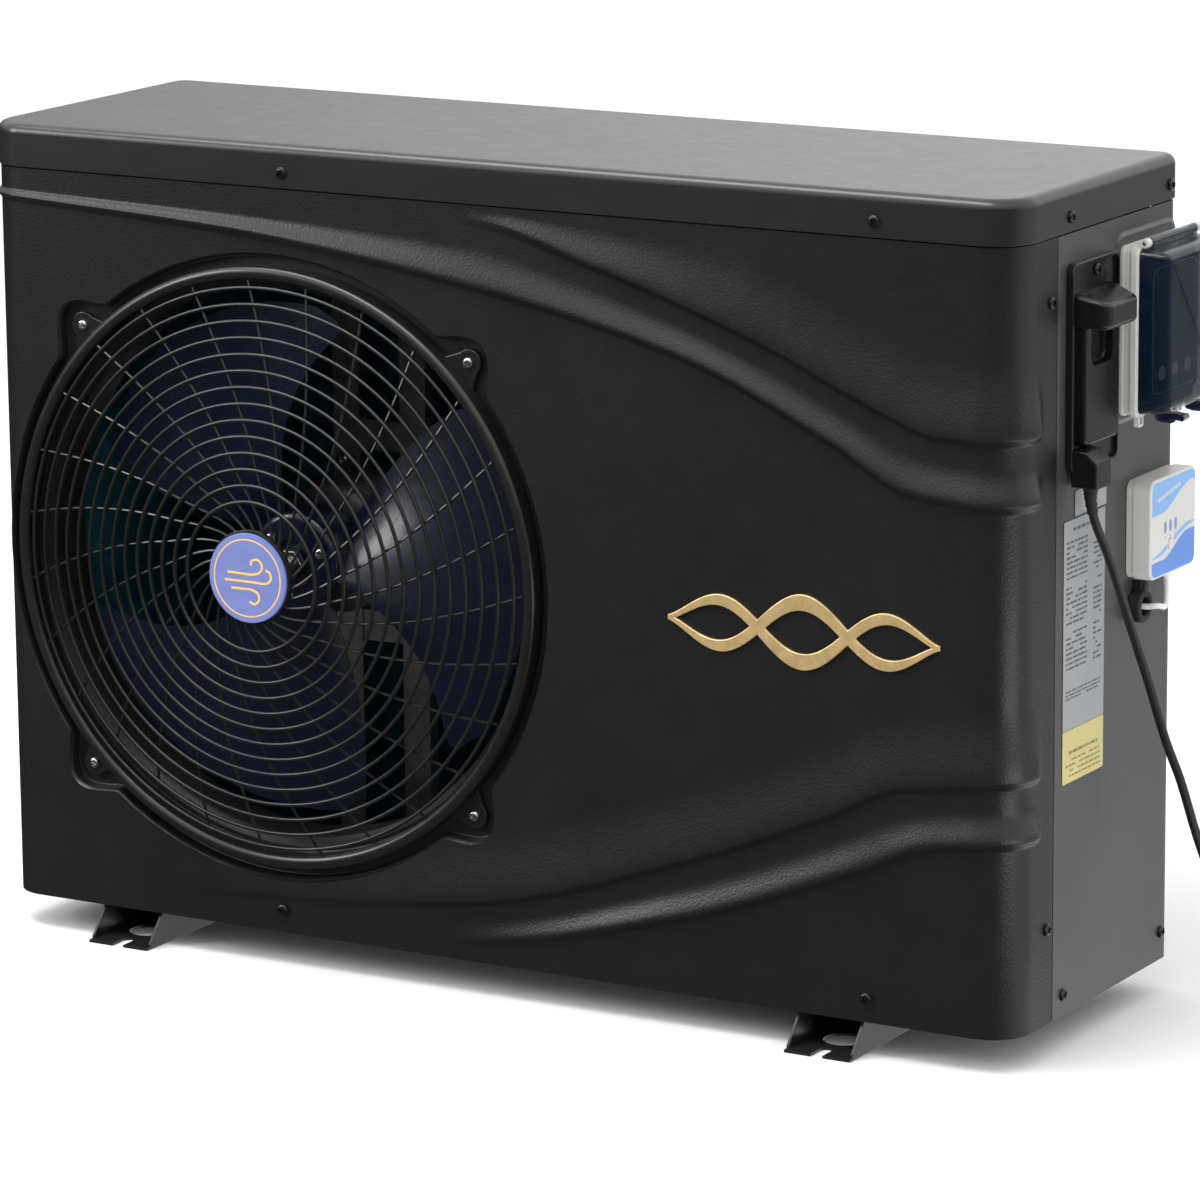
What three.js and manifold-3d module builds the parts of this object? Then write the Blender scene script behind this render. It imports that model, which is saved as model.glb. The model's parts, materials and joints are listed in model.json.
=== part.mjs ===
// Swimming-pool heat pump: a cased air-to-water unit with one large fan, built as separate pieces.
// Millimetres, +Z up. X runs across the width, the front looks along -Y, Z = 0 is the floor.
import * as THREE from 'three';
import { mergeVertices } from 'three/addons/utils/BufferGeometryUtils.js';
import Module from 'manifold-3d';

const wasm = await Module();
wasm.setup();

// ---------------------------------------------------------------- driving dimensions
const bodyWidth = 1045;
const bodyDepth = 320;
const bodyHeight = 722;
const footHeight = 31;
const gap = 0.3; // between pieces that touch
const seam = 1.5; // between casing parts, and how far the walls stand behind the cover
const sheet = 1.5; // sheet steel

const coverSkirt = 39;
const coverEdgeRadius = 9;
const frontCornerRadius = 38;
const rearCornerRadius = 16;

const panelWall = 4; // moulded front panel
const panelReturn = 79; // how far the front panel wraps along each side
const lapRise = 7; // how far a lap of the front panel stands out
const lapRamp = 68; // height of the slope above a lap's crest
const lapStep = 9; // height of the sharp step under it

const fanX = -218;
const fanHeight = 337; // fan centre above the body's bottom
const fanOpeningRadius = 262;
const recessMargin = 22; // the recess round the grille is this much wider than the opening
const recessDepth = 12;
const lugReach = 5; // lug centres stand this far outside the recess
const lugPocketRadius = 22;
const grilleDome = 33;
const grilleProud = 7;
const wire = 3.2;
const hubRadius = 43;
const bladeClearance = 26; // between the blade tips and the opening
const fanHubRadius = 46;
const shaftRadius = 6;
const motorRadius = 60;
const motorLength = 86;

const coilThickness = 28;
const partitionX = 113;

const railWidth = 65;
const railX = 345;
const railOverhang = 20;
const railPlate = 2.5;
const railHoleRadius = 19;
const railSlotWidth = 12;

const compressorRadius = 58;
const compressorHeight = 240;
const compressorX = 335;
const compressorY = -35;
const exchangerRadius = 56;
const exchangerHeight = 420;
const exchangerX = 205;
const exchangerY = 72;
const portRadius = 30;
const portBore = 25;
const portLowHeight = 100;
const portHighHeight = 400;
const unionNutRadius = 41;

const lidAngleRoom = 2; // free room round the control box's lid
const boxWidth = 115; // control box, along the side
const boxHeight = 146;
const boxBaseDepth = 17;
const boxLidDepth = 27;
const boxWall = 2;
const keyTravel = 1;

const wifiWidth = 92;
const wifiHeight = 88;
const wifiDepth = 24;
const wifiButtonRadius = 4.5;
const wifiTravel = 1;

const cordDiameter = 8;
const coilMeanRadius = 45;
const coilColumns = 3;
const coilLayers = 2;

// ---------------------------------------------------------------- places worked out from them
const halfWidth = bodyWidth / 2;
const frontY = -bodyDepth / 2;
const backY = bodyDepth / 2;
const bottomZ = footHeight;
const topZ = footHeight + bodyHeight;
const skirtZ = topZ - coverSkirt;
const wallTopZ = skirtZ - seam;
const wallX = halfWidth - seam; // outer face of the side walls
const wallFrontY = frontY + seam;
const wallBackY = backY - seam;
const returnY = frontY + panelReturn;
const trayX = wallX - panelWall - gap;
const trayFrontY = wallFrontY + panelWall + gap;
const trayBackY = wallBackY - sheet - gap;
const fanZ = bottomZ + fanHeight;
const recessRadius = fanOpeningRadius + recessMargin;
const lugPitchRadius = recessRadius + lugReach;
const bladeRadius = fanOpeningRadius - bladeClearance;
const dishY = wallFrontY + recessDepth;
const sideX = wallX + gap; // where things are screwed on the right wall

// ---------------------------------------------------------------- geometry helpers
function asSolid(geometry) {
  const bare = geometry.clone();
  for (const name of Object.keys(bare.attributes)) {
    if (name !== 'position') bare.deleteAttribute(name);
  }
  const merged = mergeVertices(bare, 1e-4);
  const vertProperties = new Float32Array(merged.attributes.position.array);
  const triVerts = new Uint32Array(merged.index.array);
  return new wasm.Manifold(new wasm.Mesh({ numProp: 3, vertProperties, triVerts }));
}

function asGeometry(solid) {
  const shape = solid.getMesh();
  const geometry = new THREE.BufferGeometry();
  geometry.setAttribute('position', new THREE.BufferAttribute(new Float32Array(shape.vertProperties), 3));
  geometry.setIndex(new THREE.BufferAttribute(new Uint32Array(shape.triVerts), 1));
  geometry.computeVertexNormals();
  return geometry;
}

const join = (...solids) => solids.reduce((whole, next) => whole.add(next));
const cut = (solid, ...tools) => tools.reduce((rest, tool) => rest.subtract(tool), solid);

// A block given by its lowest and highest corners.
function block(x0, x1, y0, y1, z0, z1) {
  const geometry = new THREE.BoxGeometry(x1 - x0, y1 - y0, z1 - z0);
  geometry.translate((x0 + x1) / 2, (y0 + y1) / 2, (z0 + z1) / 2);
  return asSolid(geometry);
}

// An outline pushed along an axis: (x, y) along Z, (y, z) along X, or (x, z) along Y.
function prism(outline, axis, from, to, curveSegments = 4) {
  const shape = outline instanceof THREE.Shape ? outline : new THREE.Shape(outline);
  const geometry = new THREE.ExtrudeGeometry(shape, { depth: to - from, bevelEnabled: false, curveSegments });
  if (axis === 'x') {
    geometry.applyMatrix4(new THREE.Matrix4().set(0, 0, 1, from, 1, 0, 0, 0, 0, 1, 0, 0, 0, 0, 0, 1));
  } else if (axis === 'y') {
    geometry.applyMatrix4(new THREE.Matrix4().set(1, 0, 0, 0, 0, 0, -1, to, 0, 1, 0, 0, 0, 0, 0, 1));
  } else {
    geometry.translate(0, 0, from);
  }
  return asSolid(geometry);
}

function disc(a, b, radius, sides = 32) {
  const points = [];
  for (let i = 0; i < sides; i += 1) {
    const turn = (2 * Math.PI * (i + 0.5)) / sides;
    points.push(new THREE.Vector2(a + radius * Math.cos(turn), b + radius * Math.sin(turn)));
  }
  return points;
}

// Rounded rectangle; radii for the corners low-low, high-low, high-high, low-high.
function roundRect(a0, a1, b0, b1, radii) {
  const [r0, r1, r2, r3] = typeof radii === 'number' ? [radii, radii, radii, radii] : radii;
  const shape = new THREE.Shape();
  shape.moveTo(a0 + r0, b0);
  shape.lineTo(a1 - r1, b0);
  if (r1 > 0) shape.absarc(a1 - r1, b0 + r1, r1, -Math.PI / 2, 0, false);
  shape.lineTo(a1, b1 - r2);
  if (r2 > 0) shape.absarc(a1 - r2, b1 - r2, r2, 0, Math.PI / 2, false);
  shape.lineTo(a0 + r3, b1);
  if (r3 > 0) shape.absarc(a0 + r3, b1 - r3, r3, Math.PI / 2, Math.PI, false);
  shape.lineTo(a0, b0 + r0);
  if (r0 > 0) shape.absarc(a0 + r0, b0 + r0, r0, Math.PI, 1.5 * Math.PI, false);
  return shape;
}

// A closed profile of (radius, height) turned about an axis through (a, b).
function turned(profile, axis, x, y, z, sides = 32) {
  const points = profile.map(([radius, height]) => new THREE.Vector2(radius, height));
  const geometry = new THREE.LatheGeometry(points, sides);
  if (axis === 'y') geometry.rotateX(0);
  if (axis === 'z') geometry.rotateX(Math.PI / 2);
  if (axis === 'x') geometry.rotateZ(-Math.PI / 2);
  geometry.translate(x, y, z);
  const solid = asSolid(geometry);
  if (solid.volume() > 0) return solid;
  const index = geometry.index.array;
  for (let i = 0; i < index.length; i += 3) {
    [index[i], index[i + 1]] = [index[i + 1], index[i]];
  }
  return asSolid(geometry);
}

function rod(axis, x, y, z, radius, from, to, sides = 24) {
  if (axis === 'x') return prism(disc(y, z, radius, sides), 'x', from, to);
  if (axis === 'y') return prism(disc(x, z, radius, sides), 'y', from, to);
  return prism(disc(x, y, radius, sides), 'z', from, to);
}

const vectors = (points) => points.map(([x, y, z]) => new THREE.Vector3(x, y, z));

function tube(points, radius, sides, steps) {
  const path = new THREE.CatmullRomCurve3(vectors(points), false, 'centripetal');
  const shape = new THREE.Shape(disc(0, 0, radius, sides));
  return asSolid(new THREE.ExtrudeGeometry(shape, { steps, extrudePath: path, bevelEnabled: false }));
}

// Smooth curve through points, as a function of the first coordinate.
function through(points) {
  const slope = points.map((point, i) => {
    const before = points[Math.max(0, i - 1)];
    const after = points[Math.min(points.length - 1, i + 1)];
    return (after[1] - before[1]) / (after[0] - before[0]);
  });
  return (x) => {
    const at = Math.min(Math.max(x, points[0][0]), points[points.length - 1][0]);
    let i = 0;
    while (i < points.length - 2 && at > points[i + 1][0]) i += 1;
    const span = points[i + 1][0] - points[i][0];
    const t = (at - points[i][0]) / span;
    const h1 = 2 * t ** 3 - 3 * t ** 2 + 1;
    const h2 = t ** 3 - 2 * t ** 2 + t;
    const h3 = -2 * t ** 3 + 3 * t ** 2;
    const h4 = t ** 3 - t ** 2;
    return h1 * points[i][1] + h2 * span * slope[i] + h3 * points[i + 1][1] + h4 * span * slope[i + 1];
  };
}

const smooth = (value, from, to) => {
  const t = Math.min(Math.max((value - from) / (to - from), 0), 1);
  return t * t * (3 - 2 * t);
};

// Closed body from a grid of points, rows by columns, backed by a flat face between its first and last
// columns.
function bodyFromGrid(rows) {
  const columns = rows[0].length;
  const positions = [];
  for (const row of rows) for (const point of row) positions.push(...point);
  const triangles = [];
  for (let j = 0; j < rows.length - 1; j += 1) {
    for (let i = 0; i < columns; i += 1) {
      const next = (i + 1) % columns;
      const a = j * columns + i;
      const b = j * columns + next;
      const c = (j + 1) * columns + next;
      const d = (j + 1) * columns + i;
      triangles.push(a, b, c, a, c, d);
    }
  }
  const last = (rows.length - 1) * columns;
  const middle = (row) => {
    const [first, end] = [row[0], row[columns - 1]];
    return [(first[0] + end[0]) / 2, (first[1] + end[1]) / 2, (first[2] + end[2]) / 2];
  };
  const low = positions.length / 3;
  positions.push(...middle(rows[0]), ...middle(rows[rows.length - 1]));
  for (let i = 0; i < columns - 1; i += 1) {
    triangles.push(low, i + 1, i);
    triangles.push(low + 1, last + i, last + i + 1);
  }
  triangles.push(low, 0, columns - 1);
  triangles.push(low + 1, last + columns - 1, last);
  const geometry = new THREE.BufferGeometry();
  geometry.setAttribute('position', new THREE.BufferAttribute(new Float32Array(positions), 3));
  geometry.setIndex(triangles);
  return asSolid(geometry);
}

// Closed sheet between a grid of points and the same grid moved by offset, both split along the same
// diagonals.
function sheetBody(rows, offset) {
  const [count, columns] = [rows.length, rows[0].length];
  const positions = [];
  for (const side of [0, 1]) {
    for (const point of rows.flat()) positions.push(...point.map((v, i) => v + side * offset[i]));
  }
  const at = (side, j, i) => (side * count + j) * columns + i;
  const triangles = [];
  for (let j = 0; j < count - 1; j += 1) {
    for (let i = 0; i < columns - 1; i += 1) {
      const near = [at(0, j, i), at(0, j, i + 1), at(0, j + 1, i + 1), at(0, j + 1, i)];
      const far = near.map((index) => index + count * columns);
      triangles.push(near[0], near[2], near[1], near[0], near[3], near[2]);
      triangles.push(far[0], far[1], far[2], far[0], far[2], far[3]);
    }
  }
  const rim = [];
  for (let i = 0; i < columns - 1; i += 1) rim.push(at(0, 0, i));
  for (let j = 0; j < count - 1; j += 1) rim.push(at(0, j, columns - 1));
  for (let i = columns - 1; i > 0; i -= 1) rim.push(at(0, count - 1, i));
  for (let j = count - 1; j > 0; j -= 1) rim.push(at(0, j, 0));
  rim.forEach((p, index) => {
    const q = rim[(index + 1) % rim.length];
    const [p1, q1] = [p + count * columns, q + count * columns];
    triangles.push(p, q, q1, p, q1, p1);
  });
  const geometry = new THREE.BufferGeometry();
  geometry.setAttribute('position', new THREE.BufferAttribute(new Float32Array(positions), 3));
  geometry.setIndex(triangles);
  return asSolid(geometry);
}

const materials = {
  blackPlastic: [0x1b1c1e, 0.5, 0],
  blackSteel: [0x1d1e20, 0.45, 0.3],
  greySteel: [0x3c3d40, 0.5, 0.3],
  zinc: [0x9a9da1, 0.4, 0.8],
  wireBlack: [0x131415, 0.4, 0.2],
  badgeBlue: [0x8a9bdc, 0.4, 0],
  bladeNavy: [0x1c2238, 0.35, 0],
  steel: [0xb9bcc0, 0.3, 0.9],
  finTeal: [0x2b6f86, 0.4, 0.6],
  copper: [0xb87333, 0.35, 0.9],
  rubber: [0x17181a, 0.9, 0],
  titaniumShell: [0xd9d9d4, 0.5, 0],
  board: [0x1f5a34, 0.6, 0],
  white: [0xe8e8e4, 0.45, 0],
  smoked: [0x22384c, 0.1, 0],
  gold: [0xc9a45a, 0.3, 0.8],
  label: [0xc9cccd, 0.5, 0],
  yellowLabel: [0xe1d774, 0.5, 0],
};

function piece(name, look, solid) {
  const [color, roughness, metalness] = materials[look];
  const material = new THREE.MeshStandardMaterial({ color, roughness, metalness });
  const mesh = new THREE.Mesh(asGeometry(solid), material);
  mesh.name = name;
  return mesh;
}

function group(...children) {
  const holder = new THREE.Group();
  holder.add(...children.flat());
  return holder;
}

// ---------------------------------------------------------------- casing
function basePan() {
  const corner = frontCornerRadius - seam - panelWall;
  const outer = roundRect(-trayX, trayX, trayFrontY, trayBackY, [corner, corner, 12, 12]);
  const inner = roundRect(-trayX + sheet, trayX - sheet, trayFrontY + sheet, trayBackY - sheet,
    [corner - sheet, corner - sheet, 10, 10]);
  const flange = 30;
  const tray = cut(prism(outer, 'z', bottomZ, bottomZ + flange),
    prism(inner, 'z', bottomZ + sheet, bottomZ + 40));
  const drains = [-380, -60].map((x) => rod('z', x, 60, 0, 11, bottomZ - 1, bottomZ + 4));
  return piece('base_pan', 'blackSteel', cut(tray, ...drains));
}

// A channel from front to back: plate on the floor, two upright flanges that taper at the tips.
function footRail(name, x) {
  const half = railWidth / 2;
  const tip = bodyDepth / 2 + railOverhang;
  const plate = block(x - half, x + half, -tip, tip, 0, railPlate);
  const side = [
    [-tip + 6, 1], [tip - 6, 1], [tip - 6, 5], [backY - 8, footHeight - gap], [frontY + 8, footHeight - gap],
    [-tip + 6, 5],
  ].map(([y, z]) => new THREE.Vector2(y, z));
  const flanges = [x - half, x + half - railPlate].map((from) => prism(side, 'x', from, from + railPlate));
  const cuts = [];
  for (const end of [-1, 1]) {
    const hole = end * (tip - 53);
    cuts.push(rod('z', x, hole, 0, railHoleRadius, -1, railPlate + 1, 14));
    const [y0, y1] = [end * (tip - 24), end * (tip + 5)].sort((a, b) => a - b);
    const slot = roundRect(x - railSlotWidth / 2, x + railSlotWidth / 2, y0, y1, railSlotWidth / 2 - 0.5);
    cuts.push(prism(slot, 'z', -1, railPlate + 1, 3));
  }
  return piece(name, 'blackSteel', cut(join(plate, ...flanges), ...cuts));
}

// The four laps moulded into the front panel, from the bottom up. Heights are above the body's bottom.
const laps = [
  { crest: [[-500, 7], [-26, 17], [196, 66], [385, 136], [440, 160], [500, 169]], from: -60, full: 180 },
  {
    crest: [[-500, 22], [-217, 32], [0, 56], [196, 116], [348, 178], [410, 208], [500, 222]],
    from: -320,
    full: 60,
  },
  {
    crest: [[-500, 655], [-255, 640], [-17, 611], [199, 566], [348, 504], [425, 466], [500, 459]],
    from: -900,
    full: 0,
  },
  {
    crest: [[-500, 674], [-16, 667], [125, 634], [274, 586], [400, 533], [450, 517], [500, 516]],
    from: -30,
    full: 180,
  },
].map((lap) => ({ ...lap, line: through(lap.crest) }));

// Rows of the panel's relief at one place across: [height, how far out].
function reliefRows(x) {
  const top = wallTopZ - bottomZ;
  const rows = [[0, 0]];
  laps.forEach((lap, k) => {
    const crest = lap.line(x);
    const ceiling = k + 1 < laps.length ? laps[k + 1].line(x) - lapStep : top;
    const room = ceiling - crest;
    const grow = 0.25 + 0.75 * smooth(x, lap.from, lap.full);
    const rise = lapRise * grow * smooth(x, lap.from - 1, lap.from + 90);
    const step = Math.min(lapStep, crest * 0.4);
    rows.push([crest - step / 2, 0]);
    rows.push([crest + Math.min(step / 2, room * 0.2), rise]);
    rows.push([crest + Math.min(lapRamp, room * 0.75), 0]);
    if (k === 1) {
      const start = crest + lapRamp;
      const end = laps[2].line(x);
      rows.push([start + (end - start) / 3, 0], [start + ((end - start) * 2) / 3, 0]);
    }
  });
  rows.push([top, 0]);
  return rows;
}

// Plan of the panel: out along the left return, round the corner, across the front and back along the right.
function panelPlan() {
  const radius = frontCornerRadius - seam;
  const plan = [];
  const put = (x, y, nx, ny, across, fade) => plan.push({ x, y, nx, ny, across, fade });
  const arc = 5;
  const across = 20;
  const endX = wallX - radius;
  for (const side of [-1, 1]) {
    const corner = [];
    for (let i = 0; i <= arc; i += 1) {
      const turn = (i / arc) * (Math.PI / 2);
      const nx = side * Math.sin(turn);
      const ny = -Math.cos(turn);
      corner.push([side * endX + radius * nx, wallFrontY + radius + radius * ny, nx, ny]);
    }
    const straight = [wallFrontY + radius + 16, returnY].map((y) => [side * wallX, y, side, 0, 0]);
    if (side < 0) {
      for (const [x, y, nx, ny] of straight.reverse()) put(x, y, nx, ny, x, 0);
      for (const [x, y, nx, ny] of corner.reverse()) put(x, y, nx, ny, x, 1);
      for (let i = 1; i < across; i += 1) {
        const x = -endX + (2 * endX * i) / across;
        put(x, wallFrontY, 0, -1, x, 1);
      }
    } else {
      for (const [x, y, nx, ny] of corner) put(x, y, nx, ny, x, 1);
      for (const [x, y, nx, ny] of straight) put(x, y, nx, ny, x, 0);
    }
  }
  return plan;
}

function frontPanel() {
  const plan = panelPlan();
  const count = reliefRows(0).length;
  const rows = [];
  for (let j = 0; j < count; j += 1) {
    rows.push(plan.map(({ x, y, nx, ny, across, fade }) => {
      const [height, out] = reliefRows(across)[j];
      return [x + nx * out * fade, y + ny * out * fade, bottomZ + gap + height];
    }));
  }
  const outer = bodyFromGrid(rows);
  const radius = frontCornerRadius - seam - panelWall;
  const inner = roundRect(-wallX + panelWall, wallX - panelWall, wallFrontY + panelWall, backY,
    [radius, radius, 0, 0]);
  const shell = cut(outer, prism(inner, 'z', 0, topZ + 1));
  const outline = [rod('y', fanX, 0, fanZ, recessRadius, frontY - 30, dishY, 48)];
  const dish = [rod('y', fanX, 0, fanZ, recessRadius + 3, wallFrontY + 1, dishY + 3, 48)];
  for (const [x, z] of lugCentres()) {
    outline.push(rod('y', x, 0, z, lugPocketRadius, frontY - 30, dishY, 14));
    dish.push(rod('y', x, 0, z, lugPocketRadius + 3, wallFrontY + 1, dishY + 3, 14));
  }
  const opening = rod('y', fanX, 0, fanZ, fanOpeningRadius, frontY - 30, 0, 48);
  return piece('front_panel', 'blackPlastic', cut(join(shell, ...dish), ...outline, opening));
}

function topCover() {
  const plan = (inset) => roundRect(-halfWidth + inset, halfWidth - inset, frontY + inset, backY - inset, [
    frontCornerRadius - inset, frontCornerRadius - inset, rearCornerRadius - inset, rearCornerRadius - inset,
  ]);
  const rounded = new THREE.ExtrudeGeometry(plan(coverEdgeRadius), {
    depth: coverSkirt + 20 - 2 * coverEdgeRadius,
    bevelEnabled: true,
    bevelThickness: coverEdgeRadius,
    bevelSize: coverEdgeRadius,
    bevelSegments: 3,
    curveSegments: 5,
  });
  rounded.translate(0, 0, topZ - coverSkirt - 20 + coverEdgeRadius);
  const below = block(-halfWidth - 1, halfWidth + 1, frontY - 1, backY + 1, skirtZ - 60, skirtZ);
  const inside = prism(plan(sheet), 'z', skirtZ - 60, topZ - coverEdgeRadius, 5);
  const lid = cut(asSolid(rounded), below, inside);
  const hollow = prism(plan(coverEdgeRadius), 'z', skirtZ, topZ - sheet, 5);
  return piece('top_cover', 'blackSteel', cut(lid, hollow));
}

const bushY = 75;
const bushZ = bottomZ + 336;
const bushHole = 12;
const terminalY = -13;
const padDepth = 1.5;
const padMargin = 9;
const boxY0 = 38;
const boxZ0 = bottomZ + 510;

function rightSidePanel() {
  const inner = wallX - sheet;
  const radius = rearCornerRadius - seam;
  const outer = roundRect(inner - 60, wallX, returnY + seam, wallBackY, [0, 0, radius, 0]);
  const hollow = roundRect(inner - 70, inner, returnY - 10, wallBackY - sheet, [0, 0, radius - sheet, 0]);
  const trim = block(inner - 70, inner - 24, 0, backY, 0, topZ);
  const z0 = bottomZ + gap;
  const wall = cut(prism(outer, 'z', z0, wallTopZ), prism(hollow, 'z', 0, topZ), trim);
  const padPlan = roundRect(boxY0 - padMargin, boxY0 + boxWidth - 6,
    boxZ0 - padMargin, boxZ0 + boxHeight + 12, 12);
  const pad = prism(padPlan, 'x', wallX - 0.1, wallX + padDepth);
  const access = block(inner - 5, wallX + 1, terminalY - 24, terminalY + 24, bottomZ + 515, bottomZ + 590);
  const entry = rod('x', 0, bushY, bushZ, bushHole, inner - 5, wallX + 5, 20);
  return piece('right_side_panel', 'greySteel', cut(join(wall, pad), access, entry));
}

const servicePanelX0 = partitionX + 6;
const servicePanelX1 = wallX - sheet - 24 - seam;

function rearServicePanel() {
  const plate = block(servicePanelX0, servicePanelX1, wallBackY - sheet, wallBackY, bottomZ + gap, wallTopZ);
  const ports = portHeights.map((z) => rod('y', exchangerX, 0, z, portRadius + 3, 0, backY + 9));
  return piece('rear_service_panel', 'greySteel', cut(plate, ...ports));
}

const postWidth = 34;

function rearCornerPost() {
  const radius = rearCornerRadius - seam;
  const outer = roundRect(-wallX, -wallX + postWidth, wallBackY - postWidth, wallBackY, [0, 0, 0, radius]);
  const inner = roundRect(-wallX + sheet, -wallX + 60, wallBackY - 60, wallBackY - sheet,
    [0, 0, 0, radius - sheet]);
  return piece('rear_corner_post', 'greySteel',
    cut(prism(outer, 'z', bottomZ + gap, wallTopZ), prism(inner, 'z', 0, topZ)));
}

// A plate with rows of oblong openings, from a0 to a1 along the wall.
function guard(name, axis, from, a0, a1, columns) {
  const border = 16;
  const web = 7;
  const rowsOfHoles = 7;
  const z0 = bottomZ + gap;
  const stepA = (a1 - a0 - 2 * border + web) / columns;
  const stepZ = (wallTopZ - z0 - 2 * border - 20 + web) / rowsOfHoles;
  const slab = (p0, p1, q0, q1, from0, to0) => (axis === 'x'
    ? block(from0, to0, p0, p1, q0, q1) : block(p0, p1, from0, to0, q0, q1));
  const holes = [];
  for (let i = 0; i < columns; i += 1) {
    for (let j = 0; j < rowsOfHoles; j += 1) {
      const a = a0 + border + i * stepA;
      const z = z0 + border + 20 + j * stepZ;
      holes.push(slab(a, a + stepA - web, z, z + stepZ - web, from - 1, from + sheet + 1));
    }
  }
  return piece(name, 'blackSteel', cut(slab(a0, a1, z0, wallTopZ, from, from + sheet), ...holes));
}

function partitionPanel() {
  const y0 = trayFrontY + 6;
  const y1 = backY - 46;
  const z0 = bottomZ + sheet + gap;
  const z1 = topZ - 12;
  const plate = block(partitionX, partitionX + sheet, y0, y1, z0, z1);
  const foot = block(partitionX, partitionX + 16, y0, y1, z0, z0 + sheet);
  const flange = block(partitionX, partitionX + 14, y0, y0 + sheet, z0, z1);
  return piece('partition_panel', 'zinc', join(plate, foot, flange));
}

// ---------------------------------------------------------------- fan
function lugCentres() {
  const reach = lugPitchRadius * Math.SQRT1_2;
  return [[-1, -1], [1, -1], [1, 1], [-1, 1]].map(([a, b]) => [fanX + a * reach, fanZ + b * reach]);
}

const rimFrontY = wallFrontY - grilleProud;
const domeY = (radius) => rimFrontY + 2 - grilleDome * (1 - (radius / fanOpeningRadius) ** 2);

function fanGrille() {
  const inner = fanOpeningRadius + 1;
  const outer = recessRadius - 9;
  const rimBack = dishY - gap;
  const rim = cut(rod('y', fanX, 0, fanZ, outer, rimFrontY, rimBack, 44),
    rod('y', fanX, 0, fanZ, inner, rimFrontY - 1, rimBack + 1, 44));
  const parts = [rim];
  for (const [x, z] of lugCentres()) {
    parts.push(rod('y', x, 0, z, 11, rimBack - 6, rimBack, 10));
    const towards = Math.atan2(z - fanZ, x - fanX);
    const bar = new THREE.BoxGeometry(24, 4, 20);
    bar.translate(outer + 3, 0, 0);
    bar.rotateY(-towards);
    bar.translate(fanX, rimBack - 2, fanZ);
    parts.push(asSolid(bar));
  }
  const half = wire / 2;
  const rings = 3;
  for (let i = 0; i < rings; i += 1) {
    const radius = hubRadius + 22 + (i * (fanOpeningRadius - hubRadius - 44)) / (rings - 1);
    const y = domeY(radius);
    const profile = [[radius - half, -half], [radius + half, -half],
      [radius + half, half], [radius - half, half],
      [radius - half, -half]];
    parts.push(turned(profile, 'y', fanX, y, fanZ, 28));
  }
  const hubFront = domeY(0);
  parts.push(rod('y', fanX, 0, fanZ, hubRadius, hubFront, hubFront + 5, 20));
  const spokes = 6;
  const sweep = THREE.MathUtils.degToRad(48);
  for (let i = 0; i < spokes; i += 1) {
    const points = [];
    for (let k = 0; k <= 5; k += 1) {
      const radius = hubRadius - 4 + (k * (inner + 4 - hubRadius)) / 5;
      const bend = sweep * (1 - k / 5) ** 1.6;
      const turn = (2 * Math.PI * i) / spokes - bend;
      points.push([fanX + radius * Math.cos(turn), domeY(radius) + 1.2, fanZ + radius * Math.sin(turn)]);
    }
    parts.push(tube(points, wire * 0.7, 4, 6));
  }
  return piece('fan_grille', 'wireBlack', join(...parts));
}

function grilleBadge() {
  const back = domeY(0) - gap;
  return piece('grille_badge', 'badgeBlue', rod('y', fanX, 0, fanZ, hubRadius - 2, back - 3, back, 32));
}

const shroudBackY = dishY + 55;

function fanShroud() {
  const y0 = dishY + 3 + gap;
  const rear = shroudBackY - y0;
  const profile = [[fanOpeningRadius + 14, 0], [fanOpeningRadius + 14, 2], [fanOpeningRadius - 1, 4],
    [fanOpeningRadius - 8, 14], [fanOpeningRadius - 8, rear], [fanOpeningRadius - 11, rear],
    [fanOpeningRadius - 11, 12], [fanOpeningRadius - 3, 0], [fanOpeningRadius + 14, 0]];
  return piece('fan_shroud', 'blackPlastic', turned(profile, 'y', fanX, y0, fanZ, 40));
}

const bladeFrontY = dishY + 12;
const bladeDepth = 66;
const hubBackY = bladeFrontY + bladeDepth;
const motorFrontY = hubBackY + 6;
const motorBackY = motorFrontY + motorLength;

function fanImpeller() {
  const parts = [rod('y', fanX, 0, fanZ, fanHubRadius, bladeFrontY + 10, hubBackY - 4, 30)];
  const blades = 3;
  const bladeThickness = 3;
  const spanSteps = 5;
  const chordSteps = 5;
  const rootRadius = fanHubRadius - 6;
  for (let b = 0; b < blades; b += 1) {
    const rows = [];
    for (let i = 0; i <= spanSteps; i += 1) {
      const share = i / spanSteps;
      const radius = rootRadius + share * (bladeRadius - rootRadius);
      const lead = THREE.MathUtils.degToRad(-18 - 30 * share ** 1.5);
      const chord = THREE.MathUtils.degToRad(62 + 28 * share);
      const drop = (bladeDepth - 20) * (0.95 - 0.3 * share);
      const row = [];
      for (let k = 0; k <= chordSteps; k += 1) {
        const turn = (2 * Math.PI * b) / blades + lead + (chord * k) / chordSteps;
        const y = bladeFrontY + 12 + (drop * k) / chordSteps;
        row.push([fanX + radius * Math.cos(turn), y, fanZ + radius * Math.sin(turn)]);
      }
      rows.push(row);
    }
    parts.push(sheetBody(rows, [0, bladeThickness, 0]));
  }
  const bore = rod('y', fanX, 0, fanZ, shaftRadius + gap, bladeFrontY, hubBackY, 16);
  return piece('fan_impeller', 'bladeNavy', cut(join(...parts), bore));
}

function motorShaft() {
  const shaft = rod('y', fanX, 0, fanZ, shaftRadius, bladeFrontY - 6, motorFrontY + 30, 16);
  return piece('motor_shaft', 'steel', shaft);
}

function fanNut() {
  const y1 = bladeFrontY + 10 - gap;
  const nut = rod('y', fanX, 0, fanZ, 14, y1 - 9, y1, 6);
  return piece('fan_nut', 'steel', cut(nut, rod('y', fanX, 0, fanZ, shaftRadius + gap, y1 - 12, y1 + 2, 16)));
}

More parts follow.
